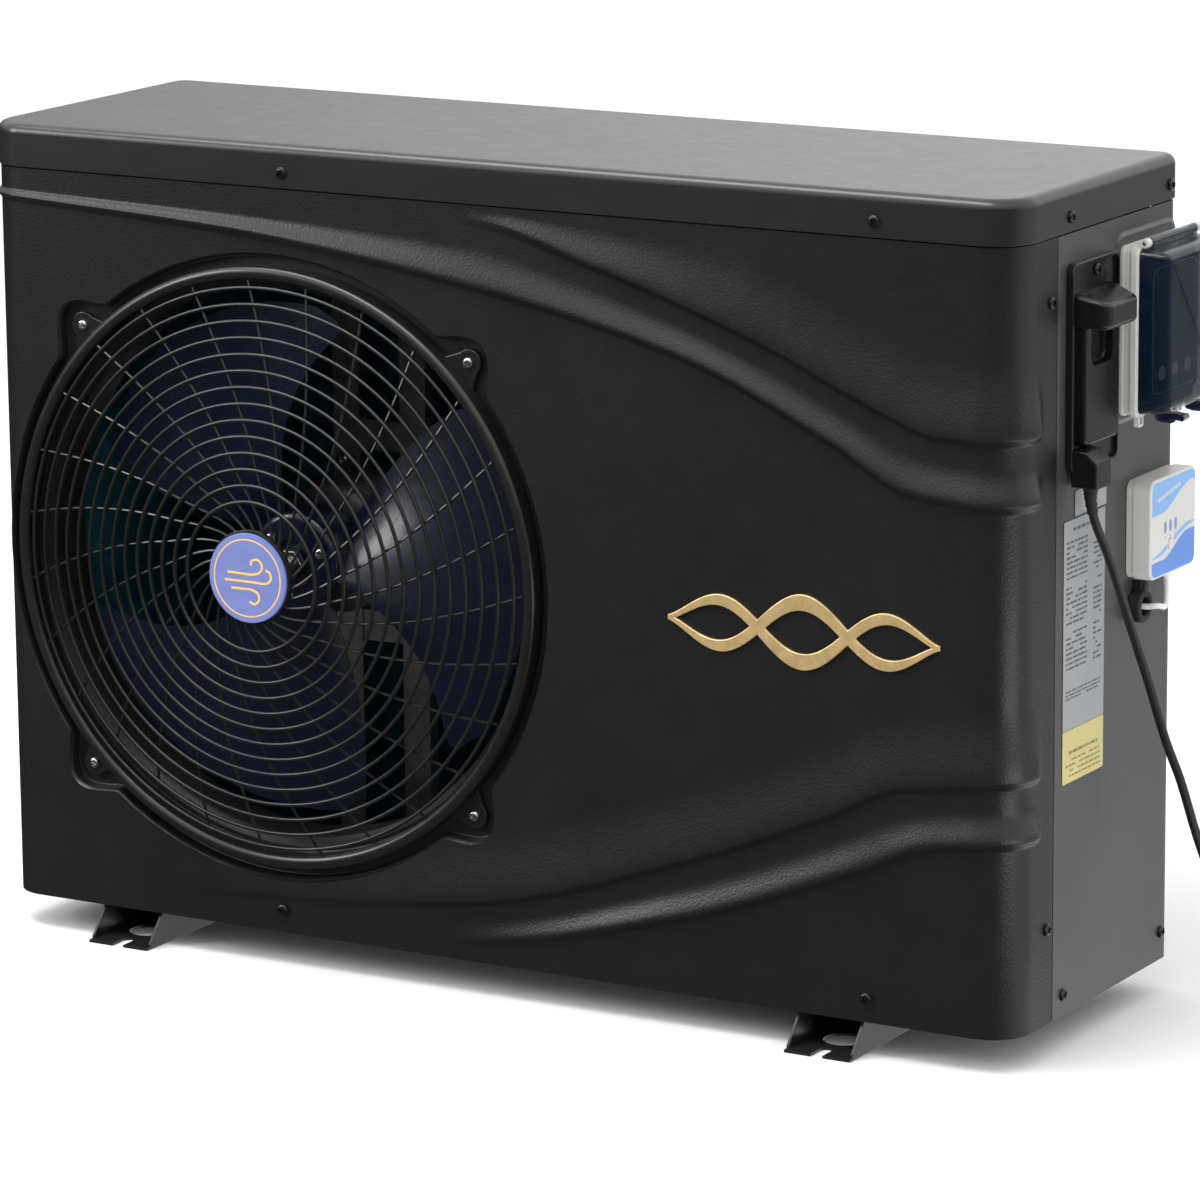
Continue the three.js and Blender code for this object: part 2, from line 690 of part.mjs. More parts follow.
function fanMotor() {
  const can = rod('y', fanX, 0, fanZ, motorRadius, motorFrontY, motorBackY, 32);
  const boss = rod('y', fanX, 0, fanZ, 20, motorFrontY - 4, motorFrontY + 1, 20);
  const bore = rod('y', fanX, 0, fanZ, shaftRadius + gap, motorFrontY - 6, motorFrontY + 31, 16);
  const feet = [-1, 1].map((side) => block(fanX + side * 36 - 10, fanX + side * 36 + 10,
    motorBackY - 12, motorBackY, fanZ - motorRadius - 12, fanZ + motorRadius + 12));
  return piece('fan_motor', 'greySteel', cut(join(can, boss, ...feet), bore));
}

function motorBracket() {
  const y0 = motorBackY + gap;
  const y1 = y0 + 14;
  const z0 = bottomZ + sheet + gap;
  const z1 = topZ - 14;
  const parts = [];
  for (const side of [-1, 1]) {
    const x = fanX + side * 36;
    parts.push(block(x - 14, x + 14, y0, y0 + 2, z0, z1));
    const [x0, x1] = [x + side * 12, x + side * 14].sort((a, b) => a - b);
    parts.push(block(x0, x1, y0, y1, z0, z1));
  }
  const foot = block(fanX - 60, fanX + 60, y0, y0 + 30, z0, z0 + 2);
  const head = block(fanX - 60, fanX + 60, y0, y0 + 30, z1 - 2, z1);
  const ties = [-90, 90].map((dz) => block(fanX - 40, fanX + 40, y0 + 2 - 0.5, y0 + 4,
    fanZ + dz - 14, fanZ + dz + 14));
  return piece('motor_bracket', 'zinc', join(...parts, foot, head, ...ties));
}

// ---------------------------------------------------------------- refrigerant side
const coilBackY = wallBackY - sheet - 11;
const coilFrontY = coilBackY - coilThickness;
const coilX0 = -wallX + sheet + 12;
const coilX1 = partitionX - 13;
const coilZ0 = bottomZ + sheet + gap + 4;
const coilZ1 = topZ - 40;

function evaporatorCoil() {
  const legY = frontY + 62;
  const outline = [[coilX0, legY], [coilX0 + coilThickness, legY], [coilX0 + coilThickness, coilFrontY],
    [coilX1, coilFrontY], [coilX1, coilBackY], [coilX0, coilBackY]];
  const plan = outline.map(([x, y]) => new THREE.Vector2(x, y));
  return piece('evaporator_coil', 'finTeal', prism(plan, 'z', coilZ0, coilZ1));
}

function coilReturnBends() {
  const x = coilX1 + gap;
  const plate = block(x, x + 2, coilFrontY, coilBackY, coilZ0, coilZ1);
  const bends = [];
  const count = 8;
  const y = (coilFrontY + coilBackY) / 2;
  for (let i = 0; i < count; i += 1) {
    const z = coilZ0 + 50 + (i * (coilZ1 - coilZ0 - 100)) / (count - 1);
    bends.push(turned([[8, -5], [16, -5], [16, 5], [8, 5], [8, -5]], 'y', x - 5, y, z, 14));
  }
  const hairpins = join(...bends).subtract(block(x - 40, x + 0.5, y - 30, y + 30, 0, topZ));
  return piece('coil_return_bends', 'copper', join(plate, hairpins));
}

const compressorZ0 = bottomZ + sheet + gap + 14;

function compressor() {
  const profile = [[0, 4], [compressorRadius - 8, 4], [compressorRadius, 14],
    [compressorRadius, compressorHeight - 34],
    [compressorRadius * 0.86, compressorHeight - 12], [compressorRadius * 0.45, compressorHeight],
    [0, compressorHeight]];
  const can = turned(profile, 'z', compressorX, compressorY, compressorZ0, 20);
  const feet = mountPlaces().map(([x, y]) => {
    const plate = rod('z', x, y, 0, 17, compressorZ0 + gap, compressorZ0 + 4, 12);
    const arm = new THREE.BoxGeometry(60, 26, 4 - gap);
    arm.translate(-30, 0, 0);
    arm.rotateZ(Math.atan2(y - compressorY, x - compressorX));
    arm.translate(x, y, compressorZ0 + 2 + gap / 2);
    return join(plate, asSolid(arm));
  });
  const hub = rod('z', compressorX, compressorY, 0, compressorRadius - 10, compressorZ0 + gap,
    compressorZ0 + 5, 20);
  const terminals = block(compressorX - 16, compressorX + 16, compressorY - compressorRadius - 10,
    compressorY - compressorRadius + 8, compressorZ0 + 120, compressorZ0 + 165);
  return piece('compressor', 'blackSteel', join(can, hub, terminals, ...feet));
}

function mountPlaces() {
  const reach = compressorRadius + 22;
  return [90, 210, 330].map((degrees) => {
    const turn = THREE.MathUtils.degToRad(degrees);
    return [compressorX + reach * Math.cos(turn), compressorY + reach * Math.sin(turn)];
  });
}

function compressorMounts() {
  const z0 = bottomZ + sheet + gap;
  return mountPlaces().map(([x, y], i) => piece(`compressor_mount_${i + 1}`, 'rubber',
    turned([[0, 0], [14, 0], [14, 5], [10, 7], [14, 9], [14, 14], [0, 14]], 'z', x, y, z0, 12)));
}

const accumulatorX = compressorX + compressorRadius + 42;
const accumulatorZ0 = compressorZ0 + 70;

function accumulator() {
  const profile = [[0, 0], [18, 0], [30, 12], [30, 148], [18, 162], [0, 162]];
  const can = turned(profile, 'z', accumulatorX, compressorY, accumulatorZ0, 20);
  const x1 = compressorX + compressorRadius + gap;
  const link = tube([[accumulatorX, compressorY, accumulatorZ0 + 4],
    [accumulatorX, compressorY, accumulatorZ0 - 22],
    [accumulatorX - 14, compressorY, accumulatorZ0 - 36], [x1, compressorY, accumulatorZ0 - 36]], 7, 8, 10);
  return piece('suction_accumulator', 'blackSteel', join(can, link));
}

const portHeights = [bottomZ + portLowHeight, bottomZ + portHighHeight];
const exchangerZ0 = bottomZ + sheet + gap;
const spigotY1 = exchangerY + exchangerRadius + 14;

function heatExchanger() {
  const profile = [[0, 0], [exchangerRadius, 0], [exchangerRadius, exchangerHeight],
    [exchangerRadius * 0.7, exchangerHeight + 18], [0, exchangerHeight + 18]];
  const shell = turned(profile, 'z', exchangerX, exchangerY, exchangerZ0, 20);
  const spigots = portHeights.map((z) => rod('y', exchangerX, 0, z, portRadius, exchangerY, spigotY1, 20));
  return piece('heat_exchanger', 'titaniumShell', join(shell, ...spigots));
}

const unionEndY = backY + 52;

// Water connector: a socket that starts on the exchanger, with a collar that its nut pulls against.
function waterUnion(name, z) {
  const y0 = spigotY1 + gap;
  const body = rod('y', exchangerX, 0, z, portRadius, y0, unionEndY, 20);
  const collar = rod('y', exchangerX, 0, z, portRadius + 5, backY + 8, backY + 13, 20);
  const bore = rod('y', exchangerX, 0, z, portBore, y0 + 12, unionEndY + 1, 20);
  return piece(name, 'blackPlastic', cut(join(body, collar), bore));
}

function unionNut(name, z) {
  const y0 = backY + 13 + gap;
  const y1 = y0 + 30;
  const ring = rod('y', exchangerX, 0, z, unionNutRadius, y0, y1, 20);
  const ribs = [];
  for (let i = 0; i < 8; i += 1) {
    const bar = new THREE.BoxGeometry(4, y1 - y0, 8);
    bar.translate(unionNutRadius + 0.5, (y0 + y1) / 2, 0);
    bar.rotateY((2 * Math.PI * i) / 8);
    bar.translate(exchangerX, 0, z);
    ribs.push(asSolid(bar));
  }
  const bore = rod('y', exchangerX, 0, z, portRadius + 0.8, y0 - 1, y1 + 1, 20);
  return piece(name, 'blackPlastic', cut(join(ring, ...ribs), bore));
}

const valveZ = compressorZ0 + compressorHeight + 90;
const valveY = compressorY + 5;

function fourWayValve() {
  const body = rod('x', 0, valveY, valveZ, 13, compressorX - 55, compressorX + 75, 16);
  const pilot = rod('x', 0, valveY, valveZ + 20, 6, compressorX - 40, compressorX + 30, 12);
  const post = block(compressorX - 6, compressorX + 6, valveY - 4, valveY + 4, valveZ + 8, valveZ + 20);
  return piece('four_way_valve', 'copper', join(body, pilot, post));
}

function dischargePipe() {
  const top = compressorZ0 + compressorHeight + gap;
  const end = valveZ - 13 - gap;
  return piece('discharge_pipe', 'copper', tube([[compressorX, compressorY, top],
    [compressorX, compressorY, top + 20], [compressorX + 6, compressorY + 2, (top + end) / 2],
    [compressorX, valveY, end - 18], [compressorX, valveY, end]], 5, 8, 10));
}

function suctionPipe() {
  const top = accumulatorZ0 + 162 + gap;
  const end = valveZ - 13 - gap;
  const x = compressorX + 50;
  return piece('suction_pipe', 'copper', tube([[accumulatorX, compressorY, top],
    [accumulatorX, compressorY, top + 30],
    [accumulatorX - 8, compressorY, top + 60], [x, valveY, end - 26], [x, valveY, end]], 7, 8, 12));
}

function expansionValve() {
  const x = exchangerX + exchangerRadius + 60;
  const y = exchangerY + 25;
  const z = bottomZ + 300;
  const body = rod('z', x, y, 0, 9, z - 40, z + 12, 14);
  const motor = rod('z', x, y, 0, 21, z + 10, z + 56, 20);
  const pipe = tube([[x, y, z - 30], [x, y, z - 70], [x - 14, y - 6, z - 100], [x - 30, y - 12, z - 108],
    [exchangerX + exchangerRadius + 3, exchangerY, z - 108]], 5, 8, 12);
  return piece('expansion_valve', 'copper', join(body, motor, pipe));
}

// ---------------------------------------------------------------- electrical parts
const trayZ0 = bottomZ + 505;
const trayZ1 = topZ - 30;
const trayX0 = 190;
const trayX1 = wallX - sheet - 5;
const trayY0 = trayFrontY + 10;
const trayY1 = 64;

function electricalBox() {
  const plan = (inset) => roundRect(trayX0 + inset, trayX1 - inset, trayY0 + inset, trayY1 - inset,
    [0, frontCornerRadius - inset, 0, 0]);
  const outer = prism(plan(0), 'z', trayZ0, trayZ1);
  const inner = prism(plan(sheet), 'z', trayZ0 + sheet, trayZ1 + 1);
  const access = block(trayX1 - 5, trayX1 + 1, terminalY - 26, terminalY + 26, trayZ0 + 6, trayZ0 + 88);
  return piece('electrical_box', 'zinc', cut(outer, inner, access));
}

function controlBoard() {
  const z = trayZ0 + sheet + gap;
  const plate = block(trayX0 + 14, trayX0 + 214, trayY0 + 14, trayY0 + 154, z + 8, z + 10);
  const posts = [[24, 24], [204, 24], [24, 144], [204, 144]]
    .map(([x, y]) => rod('z', trayX0 + x, trayY0 + y, 0, 4, z, z + 9, 8));
  const blocks = [[40, 40, 60, 40, 26], [120, 34, 50, 30, 18], [120, 84, 30, 50, 34], [50, 100, 40, 24, 16]]
    .map(([x, y, w, d, h]) => block(trayX0 + x, trayX0 + x + w, trayY0 + y, trayY0 + y + d,
      z + 9, z + 10 + h));
  return piece('control_board', 'board', join(plate, ...posts, ...blocks));
}

function runCapacitor() {
  const z = trayZ0 + sheet + gap;
  return piece('run_capacitor', 'white', rod('z', trayX0 + 248, trayY0 + 40, 0, 22, z, z + 84, 20));
}

function terminalBlock() {
  const z = trayZ0 + sheet + gap;
  const x0 = trayX1 - sheet - gap - 34;
  const body = block(x0, x0 + 34, terminalY - 22, terminalY + 22, z, z + 26);
  const slots = [-14, 0, 14].map((dy) => rod('z', x0 + 12, terminalY + dy, 0, 4, z + 14, z + 30, 10));
  return piece('terminal_block', 'white', cut(body, ...slots));
}

// ---------------------------------------------------------------- right side fittings
const coverY0 = -64;
const coverY1 = 28;
const coverZ0 = bottomZ + 476;
const coverZ1 = bottomZ + 656;
const coverPlate = 3;
const hoodReach = 34;
const glandY0 = -60;
const glandY1 = -30;
const glandZ0 = bottomZ + 465;
const glandZ1 = bottomZ + 497;
const glandReach = 27;

function terminalCover() {
  const x0 = sideX;
  const plate = prism(roundRect(coverY0, coverY1, coverZ0, coverZ1, 9), 'x', x0, x0 + coverPlate, 4);
  const face = prism(roundRect(coverY0 + 14, coverY1 - 12, glandZ1 + 1, coverZ1 - 50, 5), 'x',
    x0 + coverPlate - 0.5, x0 + 12, 3);
  const hoodZ0 = coverZ1 - 56;
  const hoodZ1 = coverZ1 - 26;
  const plan = [[x0 + 1, coverY0 + 10], [x0 + hoodReach - 6, coverY0 + 12], [x0 + hoodReach, coverY0 + 20],
    [x0 + hoodReach, coverY1 - 26], [x0 + hoodReach - 6, coverY1 - 18], [x0 + 1, coverY1 - 2]];
  const hood = prism(plan.map(([x, y]) => new THREE.Vector2(x, y)), 'z', hoodZ0, hoodZ1);
  const slopeOff = prism([[coverPlate + 4, hoodZ1 + 1], [hoodReach + 1, hoodZ1 + 1],
    [hoodReach + 1, hoodZ1 - 7]]
    .map(([x, z]) => new THREE.Vector2(x0 + x, z)), 'y', coverY0 - 5, coverY1 + 5);
  const grip = block(x0 + coverPlate + 1, x0 + hoodReach - 5, coverY0 + 24, coverY1 - 26,
    hoodZ0 - 30, hoodZ1 - 10);
  return piece('terminal_cover', 'blackPlastic', cut(join(plate, face, hood), slopeOff, grip));
}

const cordStart = [sideX + coverPlate + 12.5, -46, glandZ0 - 2 * gap];

function cableGland() {
  const x0 = sideX + coverPlate + gap;
  const side = [[x0, glandZ0], [x0 + glandReach - 3, glandZ0], [x0 + glandReach - 3, glandZ1 - 10],
    [x0 + 4, glandZ1], [x0, glandZ1]].map(([x, z]) => new THREE.Vector2(x, z));
  const body = prism(side, 'y', glandY0, glandY1);
  const nut = rod('y', x0 + 11, 0, (glandZ0 + glandZ1) / 2 - 2, 9, glandY1 - 1, glandY1 + 12, 12);
  return piece('cable_gland', 'blackPlastic', join(body, nut));
}

const boxX0 = wallX + padDepth + gap;
const boxX1 = boxX0 + boxBaseDepth;
const boxY1 = boxY0 + boxWidth;
const boxZ1 = boxZ0 + boxHeight;
const hingeX = boxX1 + 4;
const hingeZ = boxZ1 + 4;
const pinRadius = 1.8;
const knuckle = 8;

function controlBoxBase() {
  const outer = prism(roundRect(boxY0, boxY1, boxZ0, boxZ1, 6), 'x', boxX0, boxX1, 3);
  const inner = prism(roundRect(boxY0 + boxWall, boxY1 - boxWall, boxZ0 + boxWall, boxZ1 - boxWall, 4), 'x',
    boxX0 + boxWall, boxX1 + 1, 3);
  const parts = [];
  for (const y of [boxY0 + 3, boxY1 - 3 - knuckle]) {
    const ear = join(rod('y', hingeX, 0, hingeZ, 4, y, y + knuckle, 14),
      block(boxX1 - 5, boxX1, y, y + knuckle, boxZ1 - 2.5, hingeZ + 1.5),
      block(boxX1 - 1, hingeX, y, y + knuckle, boxZ1 + gap, hingeZ + 1.5));
    parts.push(cut(ear, rod('y', hingeX, 0, hingeZ, pinRadius + gap, y - 1, y + knuckle + 1, 14)));
  }
  const tab = block(boxX1 - 6, boxX1, boxY0 + 6, boxY0 + 16, boxZ0 - 9, boxZ0 + 1);
  return piece('control_box_base', 'white', join(cut(outer, inner), ...parts, tab));
}

function lidHingePin() {
  return piece('lid_hinge_pin', 'steel', rod('y', hingeX, 0, hingeZ, pinRadius, boxY0 + 2, boxY1 - 2, 14));
}

function controlBoxLid() {
  const x0 = boxX1 + gap;
  const x1 = boxX1 + boxLidDepth;
  const outer = prism(roundRect(boxY0 + 1, boxY1 - 1, boxZ0 + 1, boxZ1 - 1, 8), 'x', x0, x1, 4);
  const inner = prism(roundRect(boxY0 + 3, boxY1 - 3, boxZ0 + 3, boxZ1 - 3, 6), 'x', x0 - 1, x1 - 2, 4);
  const y0 = boxY0 + 3 + knuckle + lidAngleRoom;
  const y1 = boxY1 - 3 - knuckle - lidAngleRoom;
  const barrel = join(rod('y', hingeX, 0, hingeZ, 4, y0, y1, 14),
    block(hingeX + 0.2, hingeX + 4, y0, y1, boxZ1 - 2, hingeZ));
  const clear = rod('y', hingeX, 0, hingeZ, pinRadius + gap, boxY0, boxY1, 14);
  const lugs = [0.27, 0.8].map((share) => {
    const y = boxY0 + share * boxWidth;
    return block(x0 + 4, x1 + 6, y - 6, y + 6, boxZ0 - 7, boxZ0 + 2);
  });
  return piece('control_box_lid', 'smoked', cut(join(cut(outer, inner), barrel, ...lugs), clear));
}

const moduleX1 = boxX1 + 8;
const keyPlaces = [-26, 0, 26].map((dy) => [(boxY0 + boxY1) / 2 + dy, boxZ0 + 34]);
const keyLength = 6;

function controllerModule() {
  const body = prism(roundRect(boxY0 + 9, boxY1 - 9, boxZ0 + 12, boxZ1 - 16, 5), 'x',
    boxX0 + boxWall + gap, moduleX1, 3);
  const pockets = keyPlaces.map(([y, z]) => rod('x', 0, y, z, 6 + gap,
    moduleX1 - keyLength - keyTravel, moduleX1 + 1, 16));
  return piece('controller_module', 'blackPlastic', cut(body, ...pockets));
}

function controllerKeys() {
  return keyPlaces.map(([y, z], i) => piece(`controller_key_${i + 1}`, 'white',
    rod('x', 0, y, z, 6, moduleX1 - keyLength + gap, moduleX1 + keyTravel + 0.6, 16)));
}

const wifiY0 = 57;
const wifiZ0 = bottomZ + 362;
const wifiX1 = sideX + wifiDepth;
const wifiSplitX = sideX + 7;
const wifiButtonPlace = [wifiY0 + wifiWidth * 0.435, wifiZ0 + wifiHeight * 0.31];

function wifiBase() {
  const shape = roundRect(wifiY0 + 1, wifiY0 + wifiWidth - 1, wifiZ0 + 1, wifiZ0 + wifiHeight - 1, 8);
  return piece('wifi_module_base', 'white', prism(shape, 'x', sideX, wifiSplitX - gap, 4));
}

function wifiCover() {
  const shape = roundRect(wifiY0, wifiY0 + wifiWidth, wifiZ0, wifiZ0 + wifiHeight, 9);
  const outer = prism(shape, 'x', wifiSplitX, wifiX1, 4);
  const [y, z] = wifiButtonPlace;
  const pocket = rod('x', 0, y, z, wifiButtonRadius + gap, wifiX1 - 6 - wifiTravel, wifiX1 + 1, 20);
  return piece('wifi_module_cover', 'white', cut(outer, pocket));
}

function wifiButton() {
  const [y, z] = wifiButtonPlace;
  const knob = rod('x', 0, y, z, wifiButtonRadius, wifiX1 - 6 + gap, wifiX1 + wifiTravel + 0.4, 20);
  return piece('wifi_button', 'white', knob);
}

function cableEntryBush() {
  const flange = rod('x', 0, bushY, bushZ, 14.5, sideX, sideX + 12, 20);
  const barrel = rod('x', 0, bushY, bushZ, bushHole - gap, wallX - sheet - 4, sideX + 1, 20);
  const strap = block(sideX, sideX + 9, bushY - 3, bushY + 8, bushZ + 10, bushZ + 22);
  return piece('cable_entry_bush', 'rubber', cut(join(flange, barrel, strap),
    rod('x', 0, bushY, bushZ, 8.5, wallX - 20, sideX + 20, 16)));
}

const leadPoints = [
  [sideX + 12, wifiY0 + 58, wifiZ0 - 2 * gap],
  [sideX + 12, wifiY0 + 58, wifiZ0 - 7],
  [sideX + 18, wifiY0 + 46, wifiZ0 - 21],
  [sideX + 24, wifiY0 + 30, wifiZ0 - 27],
  [sideX + 22, bushY + 3, bushZ + 1],
  [sideX + 12, bushY, bushZ],
  [wallX - 8, bushY, bushZ],
];

function wifiLead() {
  return piece('wifi_lead', 'white', tube(leadPoints, 2.6, 8, 16));
}

function labels() {
  const sticker = (name, look, z0, z1) => piece(name, look, block(sideX, sideX + 0.4, -65, 15, z0, z1));
  return [
    sticker('rating_label', 'label', bottomZ + 252.2, bottomZ + 435),
    sticker('yellow_label', 'yellowLabel', bottomZ + 205.5, bottomZ + 251.8),
  ];
}

// Two crossing waves: a plain raised ornament on the front.
function frontEmblem() {
  const [x0, x1] = [190, 453];
  const middle = bottomZ + 338;
  const height = 26;
  const steps = 26;
  const back = wallFrontY - gap;
  const ribbon = (sign) => {
    const upper = [];
    const lower = [];
    for (let i = 0; i <= steps; i += 1) {
      const share = i / steps;
      const x = x0 + share * (x1 - x0);
      const z = middle + sign * height * Math.sin(share * 3 * Math.PI) * Math.sin(share * Math.PI) ** 0.4;
      const half = 2.2 + 5 * Math.sin(share * Math.PI);
      upper.unshift(new THREE.Vector2(x, z + half));
      lower.push(new THREE.Vector2(x, z - half));
    }
    return prism([...lower, ...upper], 'y', back - 3, back);
  };
  return piece('front_emblem', 'gold', join(ribbon(1), ribbon(-1)));
}

// ---------------------------------------------------------------- mains cord
const floorLine = cordDiameter / 2 + 0.3;
const cordRoute = [
  cordStart,
  [cordStart[0], cordStart[1], cordStart[2] - 9],
  [cordStart[0] + 1.5, cordStart[1] + 4, cordStart[2] - 28],
  [541, -20, 432],
  [546, 26, 348],
  [550, 44, 310],
  [557, 67, 252],
  [565, 82, 213],
  [577, 91, 163],
  [594, 94, 118],
  [618, 93, 74],
  [648, 89, 36],
  [676, 83, 14],
  [704, 78, floorLine + 1],
  [730, 75.5, floorLine],
  [752, 75, floorLine],
];
const coilOuter = coilMeanRadius + (coilColumns * cordDiameter) / 2 + 0.5;
const tangentRadius = coilMeanRadius + cordDiameter; // the cord joins the outermost turn
const cordEnd = cordRoute[cordRoute.length - 1];
const coilX = cordEnd[0] + Math.sqrt(coilOuter ** 2 - (tangentRadius - cordDiameter / 2) ** 2) + 1;
const coilY = cordEnd[1] + tangentRadius;

function powerCord() {
  return piece('power_cord', 'rubber', tube(cordRoute, cordDiameter / 2, 8, 32));
}

function cordCoil() {
  const inner = coilMeanRadius - (coilColumns * cordDiameter) / 2 - 0.5;
  const height = coilLayers * cordDiameter + 0.5;
  const ring = [[inner, 0], [coilOuter, 0], [coilOuter, height], [inner, height], [inner, 0]];
  return piece('power_cord_coil', 'rubber', turned(ring, 'z', coilX, coilY, 0, 28));
}

// Plug beside the coil, where the last turn leaves it towards the unit: tapered strain relief, body
// and two pins.
function powerPlug() {
  const reach = Math.sqrt(coilOuter ** 2 - (tangentRadius - 6) ** 2) + 1;
  const y = coilY + tangentRadius;
  const z = 19;
  const start = coilX - reach;
  const upper = floorLine + (coilLayers - 1) * cordDiameter;
  const bend = [[start, y, upper], [start - 14, y, upper + 1], [start - 30, y, z - 3], [start - 46, y, z]];
  const relief = tube(bend, 5, 10, 6);
  const body = turned([[0, 0], [18.5, 0], [18.5, 20], [9, 34], [0, 34]], 'x', start - 76, y, z, 20);
  const pins = [-9.5, 9.5].map((dy) => rod('x', 0, y + dy, z, 2.4, start - 95, start - 75, 10));
  return piece('power_plug', 'blackPlastic', join(relief, body, ...pins));
}

const cord = group(powerCord(), cordCoil(), powerPlug());

const unit = group(
  group(basePan(), footRail('foot_rail_left', -railX - 38), footRail('foot_rail_right', railX), frontPanel(),
    topCover(), rightSidePanel(), rearServicePanel(), rearCornerPost(), partitionPanel(),
    guard('rear_coil_guard', 'y', wallBackY - sheet, -wallX + postWidth + seam, servicePanelX0 - seam, 6),
    guard('left_coil_guard', 'x', -wallX, returnY + seam, wallBackY - postWidth - seam, 2)),
  group(fanGrille(), grilleBadge(), fanShroud(), fanImpeller(), motorShaft(), fanNut(), fanMotor(),
    motorBracket()),
  group(evaporatorCoil(), coilReturnBends(), compressor(), compressorMounts(), accumulator(), heatExchanger(),
    fourWayValve(), dischargePipe(), suctionPipe(), expansionValve()),
  group(waterUnion('water_inlet_union', portHeights[0]), waterUnion('water_outlet_union', portHeights[1]),
    unionNut('inlet_union_nut', portHeights[0]), unionNut('outlet_union_nut', portHeights[1])),
  group(electricalBox(), controlBoard(), runCapacitor(), terminalBlock()),
  group(terminalCover(), cableGland(), controlBoxBase(), lidHingePin(), controlBoxLid(), controllerModule(),
    controllerKeys(), wifiBase(), wifiCover(), wifiButton(), cableEntryBush(), wifiLead(), labels(),
    frontEmblem()),
);

// The origin is the middle of the unit's box on the floor, the cord left out.
const extent = new THREE.Box3().setFromObject(unit);
const root = group(unit, cord);
root.position.set(-(extent.min.x + extent.max.x) / 2, -(extent.min.y + extent.max.y) / 2, -extent.min.z);

export default root;
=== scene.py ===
"""Heat pump unit: the visual model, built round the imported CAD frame."""

import json
import random
from math import atan2, cos, log, pi, radians, sin, sqrt

import bmesh
import bpy
from mathutils import Matrix, Vector


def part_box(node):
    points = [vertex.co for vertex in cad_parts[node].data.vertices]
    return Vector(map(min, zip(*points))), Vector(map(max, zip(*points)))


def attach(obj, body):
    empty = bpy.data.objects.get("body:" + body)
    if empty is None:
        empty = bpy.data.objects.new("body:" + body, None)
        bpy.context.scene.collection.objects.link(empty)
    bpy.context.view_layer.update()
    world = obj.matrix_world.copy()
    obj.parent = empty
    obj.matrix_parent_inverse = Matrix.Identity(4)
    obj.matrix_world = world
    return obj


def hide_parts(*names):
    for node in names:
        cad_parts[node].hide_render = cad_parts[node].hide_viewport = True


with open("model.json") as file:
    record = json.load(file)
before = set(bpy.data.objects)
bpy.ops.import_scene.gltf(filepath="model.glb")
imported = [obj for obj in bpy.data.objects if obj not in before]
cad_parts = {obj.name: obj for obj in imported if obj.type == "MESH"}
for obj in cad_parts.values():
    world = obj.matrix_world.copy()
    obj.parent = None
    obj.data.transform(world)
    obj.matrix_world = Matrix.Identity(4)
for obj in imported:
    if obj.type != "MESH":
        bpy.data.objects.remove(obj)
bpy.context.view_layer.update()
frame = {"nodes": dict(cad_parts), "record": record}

# Everything below is in millimetres from the middle of the casing on the floor: x right, y back, z up.
MM = 0.001
GAP = 0.3
cover_low, cover_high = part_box("top_cover")
ORIGIN = Vector(((cover_low.x + cover_high.x) / 2, (cover_low.y + cover_high.y) / 2, 0))


def span(node):
    """The lowest and highest corner of a CAD node."""
    return tuple((corner - ORIGIN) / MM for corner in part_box(node))


def place(point):
    """A point in millimetres, in the frame's metres."""
    return ORIGIN + Vector(point) * MM


def linked(name, data):
    """A new object in the scene."""
    made = bpy.data.objects.new(name, data)
    bpy.context.scene.collection.objects.link(made)
    return made


# ---- sizes taken from the frame
cover_lo, cover_hi = span("top_cover")
HALF_WIDTH = cover_hi.x
FRONT, BACK = cover_lo.y, cover_hi.y
SKIRT, TOP = cover_lo.z, cover_hi.z
BOTTOM = span("base_pan")[0].z
SEAM = 1.5
WALL_X = HALF_WIDTH - SEAM
WALL_FRONT, WALL_BACK = FRONT + SEAM, BACK - SEAM
WALL_TOP = SKIRT - SEAM
SIDE = WALL_X + GAP
RETURN_Y = span("front_panel")[1].y
FRONT_CORNER, REAR_CORNER = 38, 16
COVER_EDGE = 9
SHEET = 1.5

shroud_lo, shroud_hi = span("fan_shroud")
FAN_X, FAN_Z = (shroud_lo.x + shroud_hi.x) / 2, (shroud_lo.z + shroud_hi.z) / 2
FAN = (FAN_X, 0, FAN_Z)
OPENING = 262
RECESS = OPENING + 22
LUG_PITCH = RECESS + 5
DISH_Y = WALL_FRONT + 12
RIM_Y = WALL_FRONT - 7
DOME = 33

# ---- materials


def noise(nodes, links, where, scale, detail=3.0, roughness=0.5):
    """A noise texture fed by where."""
    made = nodes.new("ShaderNodeTexNoise")
    made.inputs["Scale"].default_value = scale
    made.inputs["Detail"].default_value = detail
    made.inputs["Roughness"].default_value = roughness
    links.new(where, made.inputs["Vector"])
    return made


